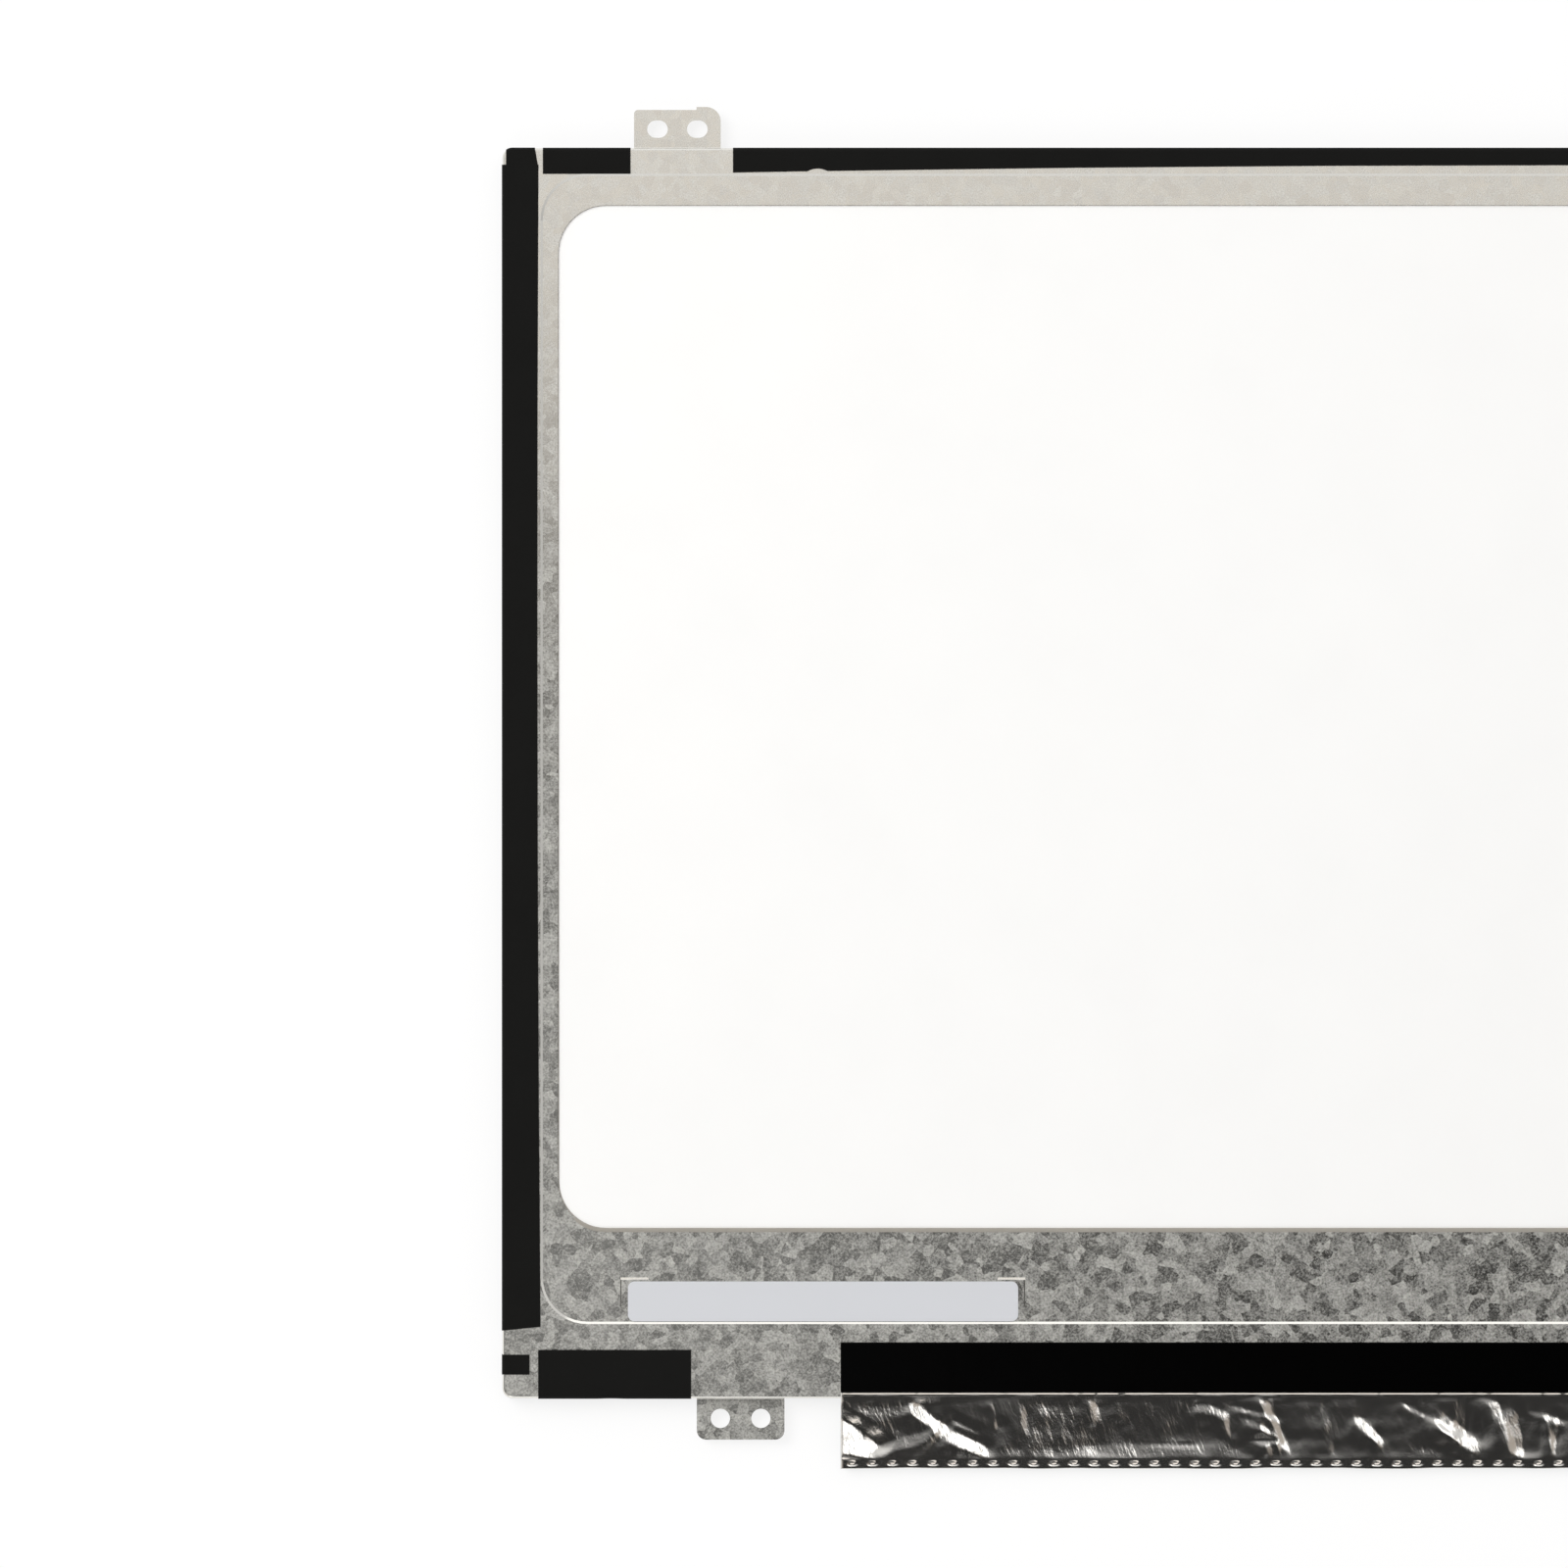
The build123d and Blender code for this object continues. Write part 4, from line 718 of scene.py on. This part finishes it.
sides = (first + np.array([(0, 1, 4, 3), (1, 2, 5, 4), (2, 0, 3, 5)])).reshape(-1, 4)
caps = (first + np.array([(0, 2, 1), (3, 4, 5)])).reshape(-1, 3)
# The wedges' flanks don't lie level, so the steel paints them paler: in part a painted highlight on the marks
lines = new_piece("scribed_lines", points, sides.tolist() + caps.tolist(), steel)
lines.data.shade_flat()

# %% [markdown]
# Each of the two tapes along the lower edge has a short hollow, where it was pushed in with a thumb
# as it was bent round the steel. The frame leaves a plain gap there, and this piece closes it: the
# tape's bend and side as a profile, carried along the gap, with a bend that is thinnest in the middle.

# %% Hollows in the lower tapes
HOLLOW_INSET, HOLLOW_WIDTH, HOLLOW_DEPTH = 13.9 * MM, 4.9 * MM, 0.05 * MM
BEND_RADIUS, TAPE_THICKNESS = 0.45 * MM, 0.08 * MM
STEPS_ALONG, STEPS_ROUND = 25, 9
tape_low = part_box("bottom_left_tape")[0]
share, turn = np.meshgrid(np.linspace(-1, 1, STEPS_ALONG), np.linspace(0, pi / 2, STEPS_ROUND), indexing="ij")
radius = BEND_RADIUS + TAPE_THICKNESS - HOLLOW_DEPTH * (1 - share ** 2) ** 2
bend = np.stack([share * HOLLOW_WIDTH / 2, lower_edge + BEND_RADIUS - radius * np.sin(turn),
                 steel_rear - BEND_RADIUS + radius * np.cos(turn)], axis=-1)
side = bend[:, -1:] * (1, 1, 0) + np.array([0, 0, tape_low.z])
strip = np.concatenate([bend, side], axis=1)
middle = tray_low.x + HOLLOW_INSET + HOLLOW_WIDTH / 2
points = np.concatenate([strip + (middle, 0, 0), strip - (middle, 0, 0)]).reshape(-1, 3)
index = np.arange(len(points)).reshape(2, *strip.shape[:2])
quads = np.stack([index[:, :-1, :-1], index[:, :-1, 1:], index[:, 1:, 1:], index[:, 1:, :-1]], axis=-1)
hollows = new_piece("tape_hollows", points, quads.reshape(-1, 4).tolist(), tape)
hollows.modifiers.new("thickness", "SOLIDIFY").thickness = TAPE_THICKNESS - HOLLOW_DEPTH

# %% [markdown]
# The stage is a pale floor. Its shader is a plain matte white for the light that falls on the panel,
# and mostly a white glow for what the camera and the mirrors see, so the background is white and
# the panel's soft shadow still shows on it.

# %% Floor
FLOOR_HALF, FLOOR_GLOW = 6.0, 0.8
floor_mesh = bpy.data.meshes.new("floor")
corners = np.array([(-1, -1, 0), (1, -1, 0), (1, 1, 0), (-1, 1, 0)]) * FLOOR_HALF
floor_mesh.from_pydata(corners.tolist(), [], [(0, 1, 2, 3)])
floor = bpy.data.objects.new("floor", floor_mesh)
bpy.context.scene.collection.objects.link(floor)
floor_finish, tree, shader = start_finish("pale_floor")[:3]
fill(tree, shader, {"Base Color": (1, 1, 1, 1), "Roughness": 0.9, "Specular IOR Level": 0.0})
rays = add(tree, "ShaderNodeLightPath", {}).outputs
seen = rays["Is Camera Ray"]
for ray in (rays["Is Glossy Ray"], rays["Is Transmission Ray"]):
    seen = add(tree, "ShaderNodeMath", {0: seen, 1: ray}, operation="MAXIMUM").outputs["Value"]
share = add(tree, "ShaderNodeMath", {0: seen, 1: FLOOR_GLOW}, operation="MULTIPLY").outputs["Value"]
glow = add(tree, "ShaderNodeEmission", {"Color": (1, 1, 1, 1), "Strength": 1.0}).outputs["Emission"]
pale = add(tree, "ShaderNodeMixShader", {0: share, 1: shader.outputs["BSDF"], 2: glow})
fill(tree, tree.nodes["Material Output"], {"Surface": pale.outputs[0]})
floor_mesh.materials.append(floor_finish)
print("floor is", 2 * FLOOR_HALF, "m wide")

# %% [markdown]
# Metal looks like what it mirrors, so the surroundings matter as much as the lamp. Seen from above,
# the upper half of the panel mirrors a bright part of the ceiling and the lower half a dark one, which
# is why the steel in the photograph goes from pale to dark grey. Folds in the foil mirror a softbox.
# Each part of the surroundings is a cubic step of the cosine between the view and an axis, times a
# level and a tint, and in each colour channel the brightest part wins.

# %% Surroundings and lamp
SURROUNDINGS = {
    # axis, squeeze across it, degrees from the axis where its light begins and is full, level and tint
    "pale wall": ((0.0, 1.0, 0.0), 1.0, 88.3, 87.1, 0.75, "#ffffff"),
    "bright ceiling": ((0.0, 0.22, 1.0), 0.3, 10.7, 9.5, 1.25, "#fff9f3"),
    "strip light": ((0.0, 1.48, 1.0), 0.35, 14.0, 6.0, 1.3, "#ffffff"),
    "horizon": ((0.0, -0.2, -1.0), 1.0, 152.0, 102.7, 1.0, "#ffffff"),
    "glow beside the softbox": ((-0.8, -0.85, 1.0), 1.9, 30.0, 10.0, 0.5, "#fff4e8"),
    "softbox": ((-0.37, -0.93, 1.0), 1.9, 17.0, 5.0, 2.2, "#ffffff"),
    "dim lamp": ((-0.10, -0.09, 1.0), 1.0, 9.5, 1.0, 0.3, "#ffffff"),
}
DARKNESS = 0.025
world = bpy.data.worlds.new("studio")
world.use_nodes = True
tree = world.node_tree
view = add(tree, "ShaderNodeTexCoord", {}).outputs["Generated"]
sky = (DARKNESS, DARKNESS, DARKNESS)
for axis, squeeze, begins, full, level, tint in SURROUNDINGS.values():
    axis = np.array(axis) / np.linalg.norm(axis)
    squeezed = add(tree, "ShaderNodeVectorMath", {0: view, 1: (squeeze, 1.0, 1.0)}, operation="MULTIPLY")
    squeezed = add(tree, "ShaderNodeVectorMath", {0: squeezed.outputs["Vector"]}, operation="NORMALIZE")
    cosine = add(tree, "ShaderNodeVectorMath", {0: squeezed.outputs["Vector"], 1: axis},
                 operation="DOT_PRODUCT").outputs["Value"]
    light = add(tree, "ShaderNodeMapRange", {"Value": cosine, "From Min": cos(radians(begins)),
                                             "From Max": cos(radians(full)), "To Min": 0.0, "To Max": level},
                interpolation_type="SMOOTHSTEP")
    tinted = add(tree, "ShaderNodeVectorMath", {0: linear(tint)[:3], "Scale": light.outputs["Result"]},
                 operation="SCALE")
    sky = add(tree, "ShaderNodeVectorMath", {0: tinted.outputs["Vector"], 1: sky}, operation="MAXIMUM")
    sky = sky.outputs["Vector"]
fill(tree, tree.nodes["Background"], {"Color": sky, "Strength": 1.0})
bpy.context.scene.world = world

key = bpy.data.lights.new("key", "AREA")
key.energy = 10.2
key.size = 0.8
key_lamp = bpy.data.objects.new("key", key)
key_lamp.location = (-0.9, 0.5, 1.0)
key_lamp.rotation_euler = (radians(-30), radians(-42), 0)
# The lamp lights the panel, but only the surroundings are mirrored
key_lamp.visible_glossy = False
bpy.context.scene.collection.objects.link(key_lamp)
print("surroundings:", ", ".join(SURROUNDINGS))

# %% [markdown]
# The camera looks straight down, as in the photograph, where the panel's right part is cut off. Its
# long lens keeps the panel's edges parallel, and its height follows from the size of one pixel.

# %% Camera
PIXEL = 0.14741 * MM
PICTURE = 1600
PICTURE_MIDDLE = (-117.82 * MM, -3.19 * MM)
camera = bpy.data.cameras.new("camera")
camera.lens = 200.0
camera.sensor_width = 36.0
camera.clip_end = 20.0
eye = bpy.data.objects.new("camera", camera)
distance = PICTURE * PIXEL * camera.lens / camera.sensor_width
eye.location = (*PICTURE_MIDDLE, steel_rear + distance)
bpy.context.scene.collection.objects.link(eye)
bpy.context.scene.camera = eye
bpy.context.scene.view_settings.view_transform = "Standard"
print("camera height in m:", round(eye.location.z, 3))
